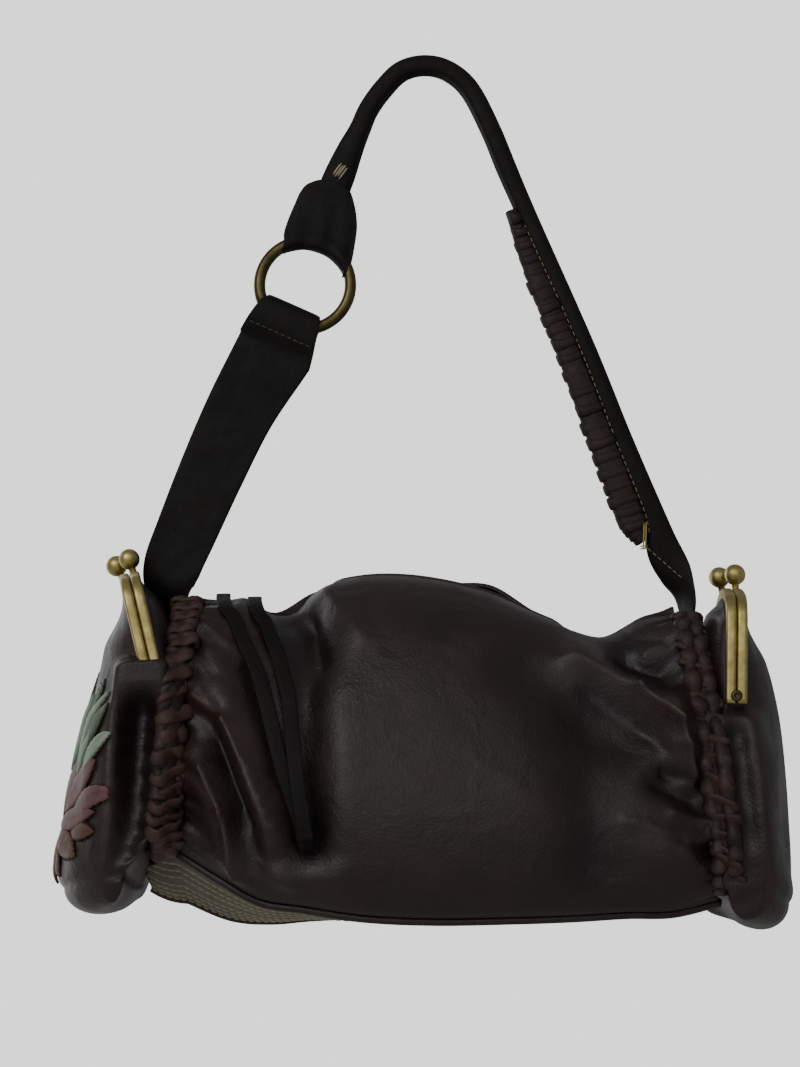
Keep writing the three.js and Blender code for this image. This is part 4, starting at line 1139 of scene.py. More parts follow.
class BAG_OT_base(bpy.types.Operator):
    """Base panel with rows of gold topstitching, and its two pipings"""
    bl_idname = "bag.base"
    bl_label = "Base"

    def execute(self, context):
        # The panel is the base's own surface with a cosine across it, which leaves a rib under each seam
        sizes = context.scene.bag_sizes
        edge = 1 - (PIPING_RADIUS + 0.6) / 40
        around = np.linspace(-edge, edge, 121)[None]
        x = mix(FIRST - base_past(around), LAST + 2, np.linspace(0, 1, 160)[:, None])
        x, around = np.broadcast_arrays(x, around)
        point = base_skin(x, around)
        ribs = BASE["rib"] * np.cos(2 * math.pi * (np.abs(around) - STITCH_ROWS[-1]) / BASE["rib_pitch"])
        point[..., 2] -= ribs
        flat = point.reshape(-1, 3)
        faces = facing(flat, grid_faces(*x.shape), np.array((0, 0, END_HEIGHT)))
        # The ribs are painted paler than the furrows between them, as a painted sheen
        piece("base_panel_leather", flat, faces, base_leather(), "leather_body", ["base_panel"],
              wall=sizes.wall, fold=(1.5 + 7 * ribs).ravel())

        # Stitches run close behind each other along each row, and stand on the panel's normal
        length = sizes.stitch_length / MM
        count = int((LAST - FIRST) / (length * 0.92))
        row = np.concatenate((-STITCH_ROWS, STITCH_ROWS[::-1]))[:, None]
        at = mix(FIRST - base_past(row) + 1.5, LAST, np.linspace(0, 1, count)[None])
        at, row = np.broadcast_arrays(at, row)
        way = base_skin(at + 0.5, row) - base_skin(at - 0.5, row)
        across = base_skin(at, row + 0.01) - base_skin(at, row - 0.01)
        up = np.cross(across, way)
        up *= -np.sign(up[..., 2:3])
        place, way, up = (vectors.reshape(-1, 3) for vectors in (base_skin(at, row), way, up))
        points, polygons = stitched(place, way, up, length, 1.5 * sizes.stitch_thick / MM)
        piece("base_topstitch", points, polygons, gold_thread(), "leather_strap")

        # A piping is a circle carried along one edge of the base
        for name, side in (("piping_front", -1.0), ("piping_back", 1.0)):
            at = np.linspace(FIRST - base_past(np.array(side)), LAST + 1, 160)
            path = base_skin(at, np.full_like(at, side))
            way = tangents(path)
            wide = unit(np.cross(way, (0, 1.0, 0)))
            rings = swept(path, wide, np.cross(way, wide), oval(12, 1.0) * PIPING_RADIUS)
            piece(name + "_cord", *tubes(rings), body_leather(), "leather_strap", [name])
        return {"FINISHED"}


def smoothed(path, steps):
    """Mean of each point and its neighbours within steps, the end points repeated past the ends."""
    kernel = np.ones(2 * steps + 1) / (2 * steps + 1)
    wide = np.pad(path, ((steps, steps), (0, 0)), mode="edge")
    return np.stack([np.convolve(wide[:, k], kernel, mode="valid") for k in range(3)], axis=-1)


def purse_edge(end, way, z):
    """Depth of a purse's laced edge at a height, read off the front or back border of its inner wall."""
    border = purse_wall(end, False, np.full(160, way), np.linspace(0, 1, 160))
    return np.interp(-z, -border[:, 2], border[:, 1])


def laced_lines(end, way, count):
    """Lines of the body's edge and of the purse's edge that the lacing joins, and the way out of the bag.

    The body's line follows its end section, and the purse's line goes over to the edge of the inner wall.
    Above the foot of the frame the purse has no edge, and at the base the two edges meet: there both keep
    to the body's section.
    """
    x = np.full(count, FIRST if end["side"] < 0 else LAST)
    share = np.linspace(0, 1, count)
    start, stop = end["laced"]
    path = wrap_point(x, way * mix(start, stop - 0.05 * (1 + way), share))
    out = unit(path * np.array((0, 1, 1)) - np.array((0, 0, END_HEIGHT)))
    body = path + 0.8 * out
    body[:, 0] = end_plane(end["side"], body[:, 2])
    purse = body + np.array((end["side"] * LACE_ROOM, 0, 0))
    beside = smooth(end["pin_z"] + end["cover"] - body[:, 2], 0, 14) * (1 - smooth(share, 0.78, 1))
    purse[:, 1] = mix(body[:, 1], purse_edge(end, way, body[:, 2]), 0.85 * beside)
    return smoothed(body, 8), smoothed(purse, 8), out


class BAG_OT_end_lacing(bpy.types.Operator):
    """Thong whipped round both end seams, over the ruched edges"""
    bl_idname = "bag.end_lacing"
    bl_label = "End lacing"

    def execute(self, context):
        # Loops and ruched edges follow the line halfway between the two edges, down the front and the back
        sizes = context.scene.bag_sizes
        turns = sizes.lacing_turns
        flat_oval = oval(12, 0.8)
        for end in ENDS:
            name = end["name"]
            loops, heights, edges, lumps = [], [], [], []
            for way in (-1.0, 1.0):
                seed = int(10 + 3 * end["side"] + way)
                body, purse, out = laced_lines(end, way, turns * 16 + 1)
                centre, side = (body + purse) / 2, unit(purse - body)
                out = unit(out - side * (out * side).sum(axis=1, keepdims=True))
                apart = np.linalg.norm(purse - body, axis=1) / 2
                rings, outward = looped(
                    centre, out, side, reach_out=end["proud"], reach_side=apart + 1.9, count=turns,
                    sweep=math.radians(118), width=1.4 * sizes.thong_width / MM,
                    thick=1.5 * sizes.thong_thick / MM, slant=1.6, dip=0.5, uneven=0.34, seed=seed)
                loops.append(tubes(rings))
                # Loops are painted lighter at their crest and darker where they turn into the seam, as
                # painted shade
                heights.append((1.8 * outward + end["tone_shift"]).ravel())
                for edge in (-1, 1):
                    rings, lump = ruched(
                        centre, out, side, turns=round(end["lumps"] * turns), shift=0.86 * edge * apart,
                        radius=end["welt"], full=end["full"], seed=seed + 30 * edge + 50)
                    edges.append(tubes(rings))
                    lumps.append(lump)
                thin = np.cross(tangents(centre), side)
                scale = np.stack((apart, np.full(len(apart), end["core"])), axis=-1)
                core = swept(centre, side, thin, flat_oval[None] * scale[:, None])[::4]
                edges.append(tubes(core))
                # The seam under the loops is painted dark, as painted shade between the ruched edges
                lumps.append(np.full(core.shape[0] * core.shape[1], -1.6))

            # Under the base a flat oval closes the seam from front to back
            foot = base_point(np.full(60, FIRST if end["side"] < 0 else LAST), np.linspace(-1, 1, 60))
            foot += np.array((0, 0, 5.0))
            foot[:, 0] = end_plane(end["side"], foot[:, 2]) + end["side"] * LACE_ROOM / 2
            wide = np.broadcast_to(np.array((float(end["side"]), 0, 0)), foot.shape)
            thin = np.cross(tangents(foot), wide)
            edges.append(tubes(swept(foot, wide, thin, flat_oval * np.array((2.6, 1.8)))))
            # The closing oval is painted dark too, as painted shade under the seam
            lumps.append(np.full(len(flat_oval) * len(foot), -2.0))
            piece(name + "_lacing_thong", *joined(*loops), thong_leather(), "leather_lacing",
                  [name + "_lacing"], fold=np.concatenate(heights))
            piece(name + "_ruched_edges", *joined(*edges), ruched_leather(), "leather_lacing",
                  fold=np.concatenate(lumps))
        return {"FINISHED"}


def arch(inset):
    """Middle line of a frame bar in its own plane: two legs, two round corners and a low crown.

    Legs are straight, and corners and crown are parabolas through their end points.
    """
    wide, high = FRAME["half"] - inset, FRAME["height"] - inset
    corner, crown = FRAME["corner"] - inset / 2, FRAME["crown"]
    t = np.linspace(0, 1, 26)[:, None]

    def bow(a, b, c):
        """Parabola from a to c, drawn towards b."""
        return (1 - t) ** 2 * np.array(a) + 2 * t * (1 - t) * np.array(b) + t ** 2 * np.array(c)

    shoulder = (-wide + corner, high + crown / 3)
    knee = np.array((-wide, high - corner))
    leg = mix(np.array((-wide, -FRAME["below"])), knee, np.linspace(0, 1, 16)[:, None])
    turn = bow(knee, (-wide, high), shoulder)
    top = bow(shoulder, (0, high + 1.65 * crown), (wide - corner, high + crown / 3))
    half = np.concatenate((leg, turn[1:], top[1:13]))
    return np.concatenate((half, [(0.0, top[:, 1].max())], half[::-1] * np.array((-1, 1))))


def purse_wall(end, outer_face, across, down):
    """Purse wall between the frame's arch and the foot; across is -1 at the front and 1 at the back.

    The rim follows the inside of the arch. Along the gussets the leather steps out past the frame's legs at
    the cover height, so that its edge shows there; the middle of the wall widens slowly instead. The outer
    wall bows from its edges to its middle as a power of a parabola. The inner wall puffs out under the arch,
    lies along the body's end and turns out to the foot, and its corners may bulge in a lip low down.
    """
    lean = math.radians(end["lean"])
    sin, cos = math.sin(lean), math.cos(lean)
    skew = math.tan(math.radians(end["turn"]))
    reach = np.abs(across)
    border = arch(FRAME["bar"])
    border = border[border[:, 0] >= 0]
    rim = np.interp(reach * (FRAME["half"] - FRAME["bar"] - 0.6), border[:, 0], border[:, 1]) + 0.4
    face = 1.0 if outer_face else -1.0
    inside = FRAME["half"] - FRAME["bar"] + 0.4 - PURSE_MOUTH * skew
    u = face * PURSE_MOUTH + inside * across * skew
    z = mix(end["pin_z"] + rim * cos - u * sin, end["bottom"] + 7 * across ** 2, down)
    under = end["pin_z"] + end["cover"] - z
    beside = smooth(reach, 0.8, 0.97)
    cover = mix(smooth(under, -6, 24), smooth(under, 0, end["step"]), beside)
    framed = end["shift"] + u / cos + face * 1.4 * cover + np.maximum(0, z - end["pin_z"]) * (sin / cos)
    below = end["pin_z"] - 3.6 - z
    leather_half = mix(end["brim"], along(PURSE_WIDTH, "down", "half", down), smooth(below, 0, 30))
    half = mix(inside, leather_half, cover)
    swell = np.maximum(0, 1 - across ** 2) ** 0.75
    leave = mix(smooth(below, 0, 14), smooth(under, 0, 2.5 * end["step"]), beside)
    if outer_face:
        edge = mix(framed, along(end["outer"], "down", "edge", down), leave)
        middle = along(end["outer"], "down", "middle", down)
        out = edge + (middle - edge) * swell * smooth(down, 0, 0.2)
    else:
        plane = (end_plane(end["side"], z) - end["pin_x"]) * end["side"] + LACE_ROOM
        turn = np.maximum(0, (down - end["rise"]) / (1 - end["rise"]))
        flat = mix(plane, end["foot"], 0.9 * turn ** 1.5)
        out = mix(framed, flat, mix(leave, smooth(down, 0, 0.26), swell))
        out -= end["puff"] * smooth(down, 0, 0.05) * (1 - smooth(down, 0.12, 0.34)) * swell ** 0.6
        out -= end["lip"] * np.exp(-((z - end["bottom"] - 17) / 8) ** 2) * smooth(reach, 0.6, 0.95)
    return points_of(end["pin_x"] + end["side"] * out, half * across, z)


def purse_wrinkles(across, down):
    """Height of a purse's wrinkles: pleats below the frame that die out, and a few slanting slack folds."""
    pleats = 0.9 * np.cos(2 * math.pi * 4.5 * across) * np.exp(-((down - 0.12) / 0.16) ** 2)
    slack = 1.1 * np.sin(11 * across + 9 * down) * np.exp(-((down - 0.7) / 0.2) ** 2)
    slack += 0.7 * np.sin(17 * across - 14 * down + 1) * np.exp(-((down - 0.85) / 0.12) ** 2)
    return (pleats + slack) * np.maximum(0, 1 - across ** 2)


class BAG_OT_purses(bpy.types.Operator):
    """End purses with folded gussets"""
    bl_idname = "bag.purses"
    bl_label = "Purses"

    def execute(self, context):
        # Outer wall, gusset, inner wall and gusset make one ring at each level; below, the ring closes in a
        # quarter turn of a circle
        sizes = context.scene.bag_sizes
        levels = np.concatenate((
            np.linspace(0, 0.12, 9)[:-1], np.linspace(0.12, 0.3, 34)[:-1], np.linspace(0.3, 0.93, 46)))
        shut = np.linspace(0, math.pi / 2, 13)[1:]
        down = np.concatenate((levels, np.full(len(shut), levels[-1])))[:, None]
        close = np.concatenate((np.zeros(len(levels)), shut))[:, None]
        closing = np.cos(close)[..., None]
        across = (np.sin(np.linspace(-1, 1, 67) * 1.3) / math.sin(1.3))[None]
        share = np.linspace(0, 1, 19)[1:-1][None, :, None]
        for end in ENDS:
            outer = purse_wall(end, True, across, down)
            ripple = purse_wrinkles(across, down)
            outer[..., 0] += end["side"] * ripple
            inner = purse_wall(end, False, across, down)
            middle = (outer + inner) / 2
            depth = np.sin(close) * (outer[..., 2] - end["bottom"] - 5 * across ** 2 + 1.0)
            for wall in (outer, inner):
                wall[...] = mix(middle, wall, closing)
                wall[..., 1] *= 1 - 0.1 * (1 - np.cos(close))
                wall[..., 2] -= depth

            # A gusset joins the walls straight, then folds in as a sine and puckers as a cosine by the lacing
            tuck = end["tuck"] * np.sin(math.pi * np.minimum(1, 1.1 * down))[..., None] ** 0.7
            tuck = tuck * smooth(end["pin_z"] + min(end["cover"], -2) - outer[:, :1, 2:], 0, 14)
            gussets, folds = [], []
            for first, last, sign in ((outer[:, -1:], inner[:, -1:], 1), (inner[:, :1], outer[:, :1], -1)):
                gusset = mix(first, last, share)
                laced = share if sign > 0 else 1 - share
                hollow = tuck * np.sin(math.pi * share) ** 1.2 * closing
                level = gusset[..., 2:]
                wave = level * 2 * math.pi / end["wave"] + 1.6 * np.sin(0.09 * level) + 2.2 * laced
                pucker = end["pucker"] * np.cos(wave) * np.exp((laced - 1) / 0.36) * closing
                pucker *= smooth(end["pin_z"] - 8 - level, 0, 10)
                gusset[..., 1] -= sign * (hollow - pucker)[..., 0]
                gussets.append(gusset)
                # Puckers are painted lighter on their crests and the gusset's hollow darker, as painted shade
                folds.append((1.2 * pucker - 0.5 * hollow)[..., 0])
            grid = np.concatenate((outer, gussets[0], inner[:, ::-1], gussets[1]), axis=1)
            # The outer wall is painted lighter on its wrinkle crests, partly as pulled leather, and along its
            # rims as a painted highlight
            rubbed = 1.2 * ripple + 6.0 * smooth(np.abs(across), 0.88, 1.0)
            fold = np.concatenate((rubbed, folds[0], np.zeros(inner.shape[:2]), folds[1]), axis=1)

            # Each ring is softened by its neighbours, and the foot is drawn up on the body's side
            for _ in range(10):
                grid = grid / 2 + (np.roll(grid, 1, axis=1) + np.roll(grid, -1, axis=1)) / 4
            near = np.maximum(0, 15 - end["side"] * (grid[..., 0] - end["pin_x"]))
            grid[..., 2] += end["hitch"] * near * smooth(-grid[..., 2], 335, 352)
            rows, columns, _ = grid.shape
            flat = grid.reshape(-1, 3)
            heart = np.array((end["pin_x"] + end["side"] * 14, 0, -312.0))
            faces = facing(flat, grid_faces(rows, columns, wrap=True), heart)
            piece(end["name"] + "_purse_leather", flat, faces, body_leather(), "leather_body",
                  [end["name"] + "_purse"], weld=0.02, wall=sizes.wall, fold=fold.ravel())
        return {"FINISHED"}


def purse_skin(end, across, down, raise_by):
    """Point above a purse's outer wall, and the wall's outward normal there."""
    def wall(s, d):
        """Outer wall with its wrinkles, held inside its borders."""
        s = np.clip(s, -0.999, 0.999)
        point = purse_wall(end, True, s, np.clip(d, 0, 1))
        point[..., 0] += end["side"] * purse_wrinkles(s, d)
        return point
    point = wall(across, down)
    side = wall(across + 0.01, down) - wall(across - 0.01, down)
    drop = wall(across, down + 0.005) - wall(across, down - 0.005)
    normal = unit(np.cross(side, drop))
    normal *= np.sign(normal[..., 0:1] * end["side"])
    return point + normal * raise_by[..., None], normal


def leaf_place(rows, run, off):
    """Shares across and down the purse of points run along each leaf and off its line, turned with it."""
    turn = np.radians(rows["turn"])[:, None, None]
    across = rows["across"][:, None, None] + (run * np.sin(turn) + off * np.cos(turn)) / LEAF_ACROSS
    down = rows["down"][:, None, None] + (off * np.sin(turn) - run * np.cos(turn)) / LEAF_DOWN
    return across, down


class BAG_OT_leaves(bpy.types.Operator):
    """Leaves of coloured leather sewn to the outer face of the left purse"""
    bl_idname = "bag.leaves"
    bl_label = "Leaves"

    def execute(self, context):
        # A leaf is a tube of low rings on the purse's outer wall, its breadth a scalloped power of a sine
        t = np.linspace(0, 1, 27)
        scallop = 1 + 0.05 * np.cos(2 * math.pi * 9 * t)
        breadth = (np.sin(math.pi * np.clip(t, 0.002, 0.998)) ** 0.75 * scallop)[None, :, None]
        ring = np.linspace(0, 2 * math.pi, 17)[:-1]
        bulge = np.abs(np.sin(ring))
        over = 0.35 + np.where(np.sin(ring) >= 0, np.sqrt(bulge), -0.9 * bulge)
        vein = 3.0 - 4.5 * np.exp(-(np.cos(ring) / 0.16) ** 2) * (np.sin(ring) > 0)
        side = np.array((-1.0, 1.0))[None, None]
        at = np.linspace(0.08, 0.92, 11)[None, :, None]
        seams = []
        for name, rows in LEAVES.items():
            length, half = rows["length"][:, None, None], rows["width"][:, None, None] / 2
            across, down = leaf_place(rows, (t[None, :, None] - 0.5) * length, half * breadth * np.cos(ring))
            laid = LEAF_LAYER[name] + LEAF_STAGGER * (np.arange(len(rows)) % 2)[:, None, None]
            swell = over[None, None] * (0.35 + 0.65 * breadth) + laid * smooth(np.sin(ring), -0.6, 0)
            skin, _ = purse_skin(LEFT, across, down, swell)
            piece(f"left_{name}_leaves", *tubes(skin), leaf_leather(name), "leather_body", weld=0.01,
                  fold=np.broadcast_to(vein, skin.shape[:3]).ravel())

            # Short stitches cross both rims, from just inside a leaf to just outside it
            rim = np.sin(math.pi * at) ** 0.75 * half * side
            run = (at - 0.5) * length + 0 * side
            spots = []
            for shift in (0.0, 1.6):
                across, down = leaf_place(rows, run, rim + side * (shift - 0.8))
                spots.append(purse_skin(LEFT, across, down, 0.9 - 0.4 * shift + 0 * across))
            (inside, up), (outside, _) = spots
            crossing = ((inside + outside) / 2, outside - inside, up)
            seams.append([vectors.reshape(-1, 3) for vectors in crossing])
        place, way, up = (np.concatenate(parts) for parts in zip(*seams))
        piece("left_leaf_lacing", *stitched(place, way, up, 1.8, 0.5), thong_leather(), "leather_lacing")
        return {"FINISHED"}


def in_frame(end, local):
    """Point of a frame in place: turned about the upright, leant about the hinge line, moved to the pin."""
    lean, turn = end["side"] * math.radians(end["lean"]), end["side"] * math.radians(end["turn"])
    x, y, z = np.moveaxis(np.asarray(local, float), -1, 0)
    x, y = x * math.cos(turn) + y * math.sin(turn), y * math.cos(turn) - x * math.sin(turn)
    sin, cos = math.sin(lean), math.cos(lean)
    foot = end["pin_x"] + end["side"] * end["shift"]
    return points_of(foot + x * cos + z * sin, y, end["pin_z"] - x * sin + z * cos)


class BAG_OT_frames(bpy.types.Operator):
    """Brass purse frames with ball clasps and hinge rivets"""
    bl_idname = "bag.frames"
    bl_label = "Frames"

    def execute(self, context):
        # A bar is a squared oval with a groove, carried along the arch; balls and rivets are turned forms
        colours = context.scene.bag_colours
        metal = brass("tumbled_antique_brass", colours.brass, colours.brass_tarnish, 0.36)
        dark = brass("darkened_brass", colours.ring, colours.ring_tarnish, 0.42)
        angle = 2 * math.pi * (np.arange(28) + 0.5) / 28
        groove = 1 - 0.16 * np.exp(-((angle - math.pi) / 0.28) ** 2)
        section = oval(28, 0.55) * groove[:, None] * np.array((FRAME["bar"] / 2, FRAME["thick"] / 2))
        line = arch(FRAME["bar"] / 2)
        ball = CLASP["ball"]
        theta = np.linspace(math.radians(160), 0.02, 26)
        radii = np.concatenate(([2.3, 2.3, 1.9, CLASP["stem"]], ball * np.sin(theta)))
        for end in ENDS:
            for half, out in (("outer", 1), ("inner", -1)):
                towards = end["side"] * out
                off, aside = towards * FRAME["thick"] / 2, -towards * CLASP["offset"]
                local = points_of(off, line[:, 0], line[:, 1])
                way = tangents(local)
                thin = np.broadcast_to(np.array((1.0, 0, 0)), way.shape)
                wide = np.cross(thin, way)
                bar = tubes(in_frame(end, swept(local, wide, thin, section)))
                foot = np.array((off, aside, FRAME["height"] + FRAME["crown"] - 3.2))
                meeting = towards * CLASP["spread"] + end["side"] * end["clasp"]
                tip = np.array((meeting, aside, CLASP["centre"]))
                reach = np.linalg.norm(tip - foot)
                heights = np.concatenate(([0, 0.8, 1.4, 2.0], reach + ball * np.cos(theta)))
                points, faces = lathe(foot, tip - foot, heights, radii, 28)
                node = f"{end['name']}_frame_{half}"
                clasp = (in_frame(end, points), faces)
                piece(node + "_brass", *joined(bar, clasp), metal, "brass_frame", [node])
            for place, way in (("front", -1.0), ("back", 1.0)):
                rivet_heights = (-5.2, 0.0, 0.25, 0.5, 0.8, 1.0, 0.9, 0.35, 0.3)
                rivet_radii = (1.3, 1.3, 2.3, 2.3, 1.9, 1.35, 1.0, 0.75, 0.01)
                foot = (0, way * (FRAME["half"] + 0.1), 0)
                points, faces = lathe(foot, (0, way, 0), rivet_heights, rivet_radii, 20)
                node = f"{end['name']}_hinge_{place}"
                piece(node + "_rivet", in_frame(end, points), faces, dark, "brass_frame", [node], weld=0.05)
        return {"FINISHED"}


class BAG_OT_ring(bpy.types.Operator):
    """Brass ring of the strap"""
    bl_idname = "bag.ring"
    bl_label = "Ring"

    def execute(self, context):
        # A torus: a circle of the wire's radius carried round the ring's circle
        colours = context.scene.bag_colours
        angle = np.linspace(0, 2 * math.pi, 97)[:-1]
        spoke = points_of(np.cos(angle), 0.0, np.sin(angle))
        path = np.array((RING["x"], 0, RING["z"])) + RING["radius"] * spoke
        thin = np.broadcast_to(np.array((0, 1.0, 0)), spoke.shape)
        rings = swept(path, spoke, -thin, oval(24, 1.0) * RING["wire"])
        points, faces = tubes(rings, closed=True)
        metal = brass("aged_ring_brass", colours.ring, colours.ring_tarnish, 0.34)
        piece("o_ring_brass", points, faces, metal, "brass_ring", ["o_ring"], body="ring")
        return {"FINISHED"}


class BAG_OT_strap(bpy.types.Operator):
    """Flat strap folded round the ring, with its row of stitches"""
    bl_idname = "bag.strap"
    bl_label = "Flat strap"

    def execute(self, context):
        # A flat oval carried round the ring and on down the strap, which turns on edge at its foot
        sizes = context.scene.bag_sizes
        colours = context.scene.bag_colours
        centre = np.array((RING["x"], 0, RING["z"]))
        across = -np.cross((0, 1.0, 0), STRAP_WAY)
        section = oval(22, 0.3)
        turned = refined(STRAP_FOLD, 64)
        flat = refined(FLAT_STRAP, 150)
        turned_scale, flat_scale = (
            np.stack((rows["width"] / 2, np.full(len(rows), STRAP_THICK / 2)), axis=-1)[:, None]
            for rows in (turned, flat))
        path = centre + STRAP_WAY * turned["down"][:, None] + points_of(0.0, turned["y"], 0.0)
        wide = np.broadcast_to(across, path.shape)
        turned_rings = swept(path, wide, np.cross(tangents(path), wide), section[None] * turned_scale)
        flat_rings, _, _ = ribbon(flat, section[None] * flat_scale, flat["y"])
        rings = np.concatenate((turned_rings, flat_rings))
        edge = 3.0 * smooth(np.abs(section[:, 0]), 0.8, 1.0) - 0.5
        piece("strap_flat_leather", *tubes(rings), strap_leather(), "leather_strap", ["strap_flat"],
              fold=np.tile(edge, len(rings)))

        # One row of stitches runs across the fold below the ring
        share = np.linspace(-0.45, 0.45, 10)[:, None]
        place = centre + STRAP_WAY * 25.0 + across * 29 * share + np.array((0, -4.6, 0))
        points, faces = stitched(place, across, (0, -1.0, 0.2), 2.2, 0.9 * sizes.stitch_thick / MM)
        linen = thread("waxed_dark_thread", colours.dark_thread, 0.5)
        piece("strap_stitches", points, faces, linen, "leather_strap")
        return {"FINISHED"}


class BAG_OT_tab(bpy.types.Operator):
    """Petal tab folded round the ring, with a gold thread tack"""
    bl_idname = "bag.tab"
    bl_label = "Petal tab"

    def execute(self, context):
        # A strip along the table's line; near the ring it follows the ring's circle, further out it cups
        sizes = context.scene.bag_sizes
        centre = np.array((RING["x"], 0, RING["z"]))
        lateral = np.array((TAB_WAY[2], 0, -TAB_WAY[0]))
        rows = refined(TAB_STRIP, 120)
        v = np.sin(np.linspace(-1, 1, 41) * math.pi / 2)[None]
        off = v * rows["width"][:, None] / 2
        near = 1 - smooth(rows["out"], 20.0, 44.0)[:, None]
        sag = (RING["radius"] - np.sqrt(RING["radius"] ** 2 - np.minimum(np.abs(off), 17.5) ** 2)) * near
        out = rows["out"][:, None] - sag
        layer = np.sign(rows["y"])[:, None]
        cup = 0.8 * (1 - near) * layer * (np.abs(v) ** 2)
        crease = 0.35 * np.cos(9 * v + 0.6) * near * layer
        y = rows["y"][:, None] - 1.2 * cup + crease
        point = centre + TAB_WAY * out[..., None] + lateral * (off - rows["side"][:, None])[..., None]
        point[..., 1] += y
        flat = point.reshape(-1, 3)
        faces = facing(flat, grid_faces(*y.shape), centre + TAB_WAY * 30)
        edge = 2.6 * smooth(np.abs(v), 0.9, 1.0) + 0 * y
        piece("strap_tab_leather", flat, faces, strap_leather(), "leather_strap", ["strap_tab"],
              wall=1.5 * MM, fold=edge.ravel())

        # The tack is four uneven stitches side by side
        share = np.linspace(-1, 1, 4)[:, None]
        place = np.array((-36.6, -4.3, -45.0)) + lateral * 1.5 * share
        place = place + TAB_WAY * np.array((0.6, 0.0, 0.5, -0.4))[:, None]
        up = np.array((0, -1.0, 0)) + 0.25 * lateral * share
        points, faces = stitched(place, TAB_WAY + 0.25 * lateral, up, 6.2, 1.5 * sizes.stitch_thick / MM)
        piece("tab_tack", points, faces, gold_thread(), "leather_strap")
        return {"FINISHED"}


class BAG_OT_handle(bpy.types.Operator):
    """Rolled handle with its seam, cream stitching and yellow bar tack"""
    bl_idname = "bag.handle"
    bl_label = "Handle"

    def execute(self, context):
        # An oval with a small groove for the seam, carried along the table's line and flattened at its ends
        colours = context.scene.bag_colours
        sizes = context.scene.bag_sizes
        rows = refined(HANDLE, 300)
        scale = np.stack((rows["width"] / 2, rows["depth"] / 2), axis=-1)
        angle = 2 * math.pi * (np.arange(32) + 0.5) / 32
        seam = 1 - 0.1 * np.exp(-((angle - 2.75) / 0.16) ** 2)
        profile = oval(32, 0.85)[None] * seam[None, :, None] * scale[:, None]
        rings, path, wide = ribbon(rows, profile)
        # The roll's colour is lighter on its upper front side and darker below and behind
        tone_shift = 1.2 + 1.4 * np.cos(angle - 0.8)
        piece("strap_handle_leather", *tubes(rings), strap_leather(), "leather_strap", ["strap_handle"],
              fold=np.tile(tone_shift, len(rows)))

        # Stitches at even steps along the front of the right limb, and a slanting row where it flattens
        length, thick = sizes.stitch_length / MM * 0.8, sizes.stitch_thick / MM
        z = path[:, 2]
        right = (np.arange(len(z)) > len(z) // 2) & (z < -66) & (z > -202)
        line = path[right] + wide[right] * (-0.36 * rows["width"][right, None])
        depth = rows["depth"][right, None] / 2
        line = line - np.array((0, 1.0, 0)) * depth * 0.72
        run = np.concatenate(([0], np.cumsum(np.linalg.norm(np.diff(line, axis=0), axis=1))))
        at = np.arange(1.5, run[-1], length * 1.25)
        place, way = (
            np.stack([np.interp(at, run, vectors[:, k]) for k in range(3)], axis=-1)
            for vectors in (line, tangents(line)))
        limb = stitched(place, way, (-0.3, -1.0, 0), length, 0.75 * thick)
        first, last = np.array((93.4, -3.0, -209.6)), np.array((106.0, -2.2, -220.6))
        slant = mix(first, last, np.linspace(0, 1, 7)[:, None])
        row = stitched(slant, (12.6, 0, -11.0), (0.2, -1.0, 0), length * 0.8, 0.8 * thick)
        cream = thread("waxed_cream_thread", colours.cream_thread, 0.5)
        piece("handle_stitches", *joined(limb, row), cream, "leather_strap")

        # The tack is two long stitches side by side, with two short ones across their foot
        pair = np.array((-0.5, 0.5))[:, None]
        long_place = np.array((91.4, -4.2, -203.6)) + pair * np.array((0.9, 0, 0.4))
        short_place = np.array((91.0, -4.0, -208.6)) + pair * np.array((0, 0, 1.0))
        long_pair = stitched(long_place, (0.05, 0, 1.0), (0, -1.0, 0), 11.0, 1.3 * thick)
        short_pair = stitched(short_place, (1.0, 0, 0.1), (0, -1.0, 0), 3.2, 1.3 * thick)
        yellow = thread("waxed_yellow_thread", colours.yellow_thread, 0.5)
        piece("handle_tack", *joined(long_pair, short_pair), yellow, "leather_strap")
        return {"FINISHED"}


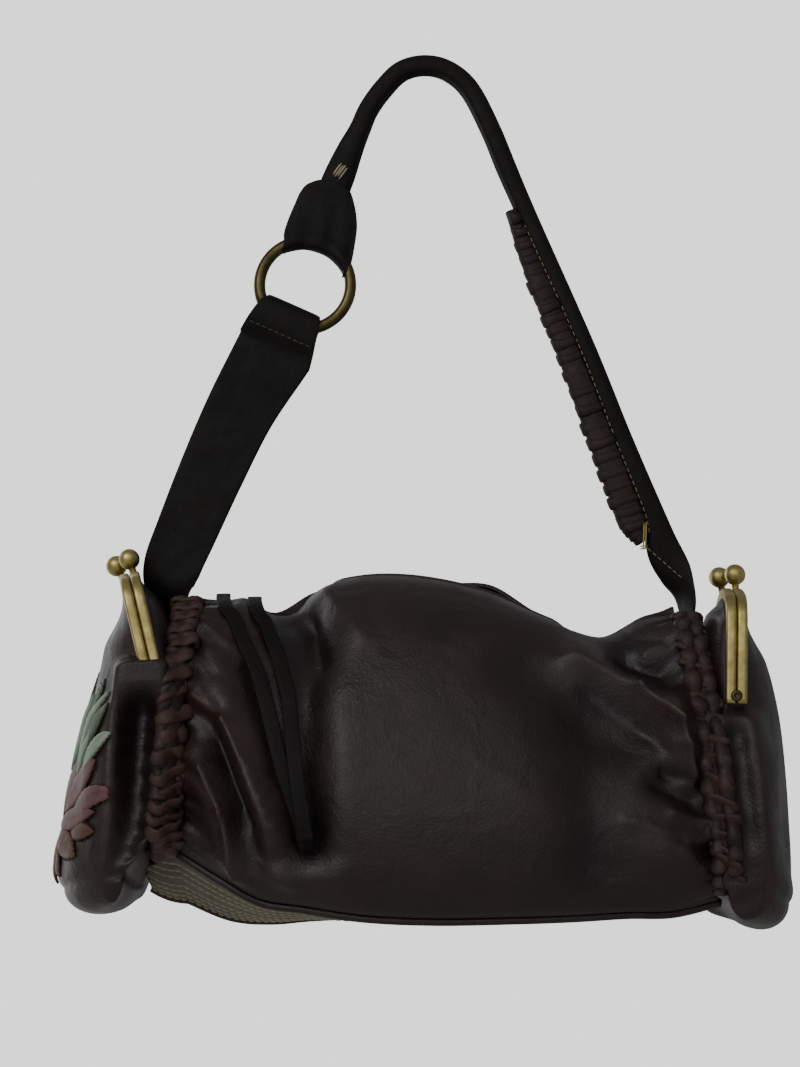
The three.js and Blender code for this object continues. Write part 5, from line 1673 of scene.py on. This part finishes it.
class BAG_OT_handle_lacing(bpy.types.Operator):
    """Thong whipped along the inner edge of the handle"""
    bl_idname = "bag.handle_lacing"
    bl_label = "Handle lacing"

    def execute(self, context):
        # Loops along the table's line over a flat core, both tapering at the two ends
        sizes = context.scene.bag_sizes
        turns = sizes.handle_turns
        rows = refined(HANDLE_LACE, turns * 18 + 1)
        path = points_of(rows["x"], 0.0, rows["z"])
        way = tangents(path)
        wide = points_of(-way[:, 2], 0.0, way[:, 0])
        deep = np.cross(way, wide)
        share = np.linspace(0, 1, len(rows))
        taper = 0.62 + 0.38 * np.minimum(smooth(share, 0, 0.12), smooth(1 - share, 0, 0.1))
        rings, outward = looped(
            path + 1.2 * wide, -wide, deep, reach_out=0.62 * rows["width"] * taper,
            reach_side=np.mean(rows["depth"]) / 2, count=turns, sweep=math.radians(140),
            width=1.4 * sizes.thong_width / MM, thick=1.4 * sizes.thong_thick / MM,
            slant=1.0, dip=0.0, uneven=0.14, seed=11)
        # Loops are painted darker where they turn in round the handle's edge, as painted shade
        piece("strap_lacing_thong", *tubes(rings), dark_thong_leather(), "leather_lacing", ["strap_lacing"],
              fold=(1.8 * outward - 1.8).ravel())
        scale = np.stack(((rows["width"] / 2 + 1.1) * taper ** 0.5, rows["depth"] / 2 + 0.35), axis=-1)
        core = swept(path + 0.8 * wide, wide, deep, oval(10, 0.7)[None] * scale[:, None])
        piece("strap_laced_edge", *tubes(core[::4]), dark_thong_leather(), "leather_lacing")
        return {"FINISHED"}


class BAG_PT_panel(bpy.types.Panel):
    """Buttons for every piece of the bag"""
    bl_idname = "BAG_PT_panel"
    bl_label = "Leather bag"
    bl_space_type = "VIEW_3D"
    bl_region_type = "UI"
    bl_category = "Bag"

    def draw(self, context):
        """One button for each operator, then a box of sizes and a box of colours."""
        for step in STEPS:
            self.layout.operator(step.bl_idname)
        for group in (context.scene.bag_sizes, context.scene.bag_colours):
            box = self.layout.box()
            for name in group.bl_rna.properties.keys():
                if name not in ("rna_type", "name"):
                    box.prop(group, name)


STEPS = (
    BAG_OT_stage, BAG_OT_ties, BAG_OT_body, BAG_OT_base, BAG_OT_end_lacing, BAG_OT_purses, BAG_OT_leaves,
    BAG_OT_frames, BAG_OT_ring, BAG_OT_strap, BAG_OT_tab, BAG_OT_handle, BAG_OT_handle_lacing,
)
CLASSES = (BagSizes, BagColours, *STEPS, BAG_PT_panel)


def register():
    """Registers the classes and hangs the sizes and colours on the scene."""
    for item in CLASSES:
        bpy.utils.register_class(item)
    bpy.types.Scene.bag_sizes = PointerProperty(type=BagSizes)
    bpy.types.Scene.bag_colours = PointerProperty(type=BagColours)


def unregister():
    """Takes back what register did, in reverse order."""
    del bpy.types.Scene.bag_colours
    del bpy.types.Scene.bag_sizes
    for item in reversed(CLASSES):
        bpy.utils.unregister_class(item)


def main():
    """Builds the whole bag."""
    register()
    for step in STEPS:
        group, name = step.bl_idname.split(".")
        getattr(getattr(bpy.ops, group), name)()
    bpy.context.view_layer.update()


if __name__ == "__main__":
    main()
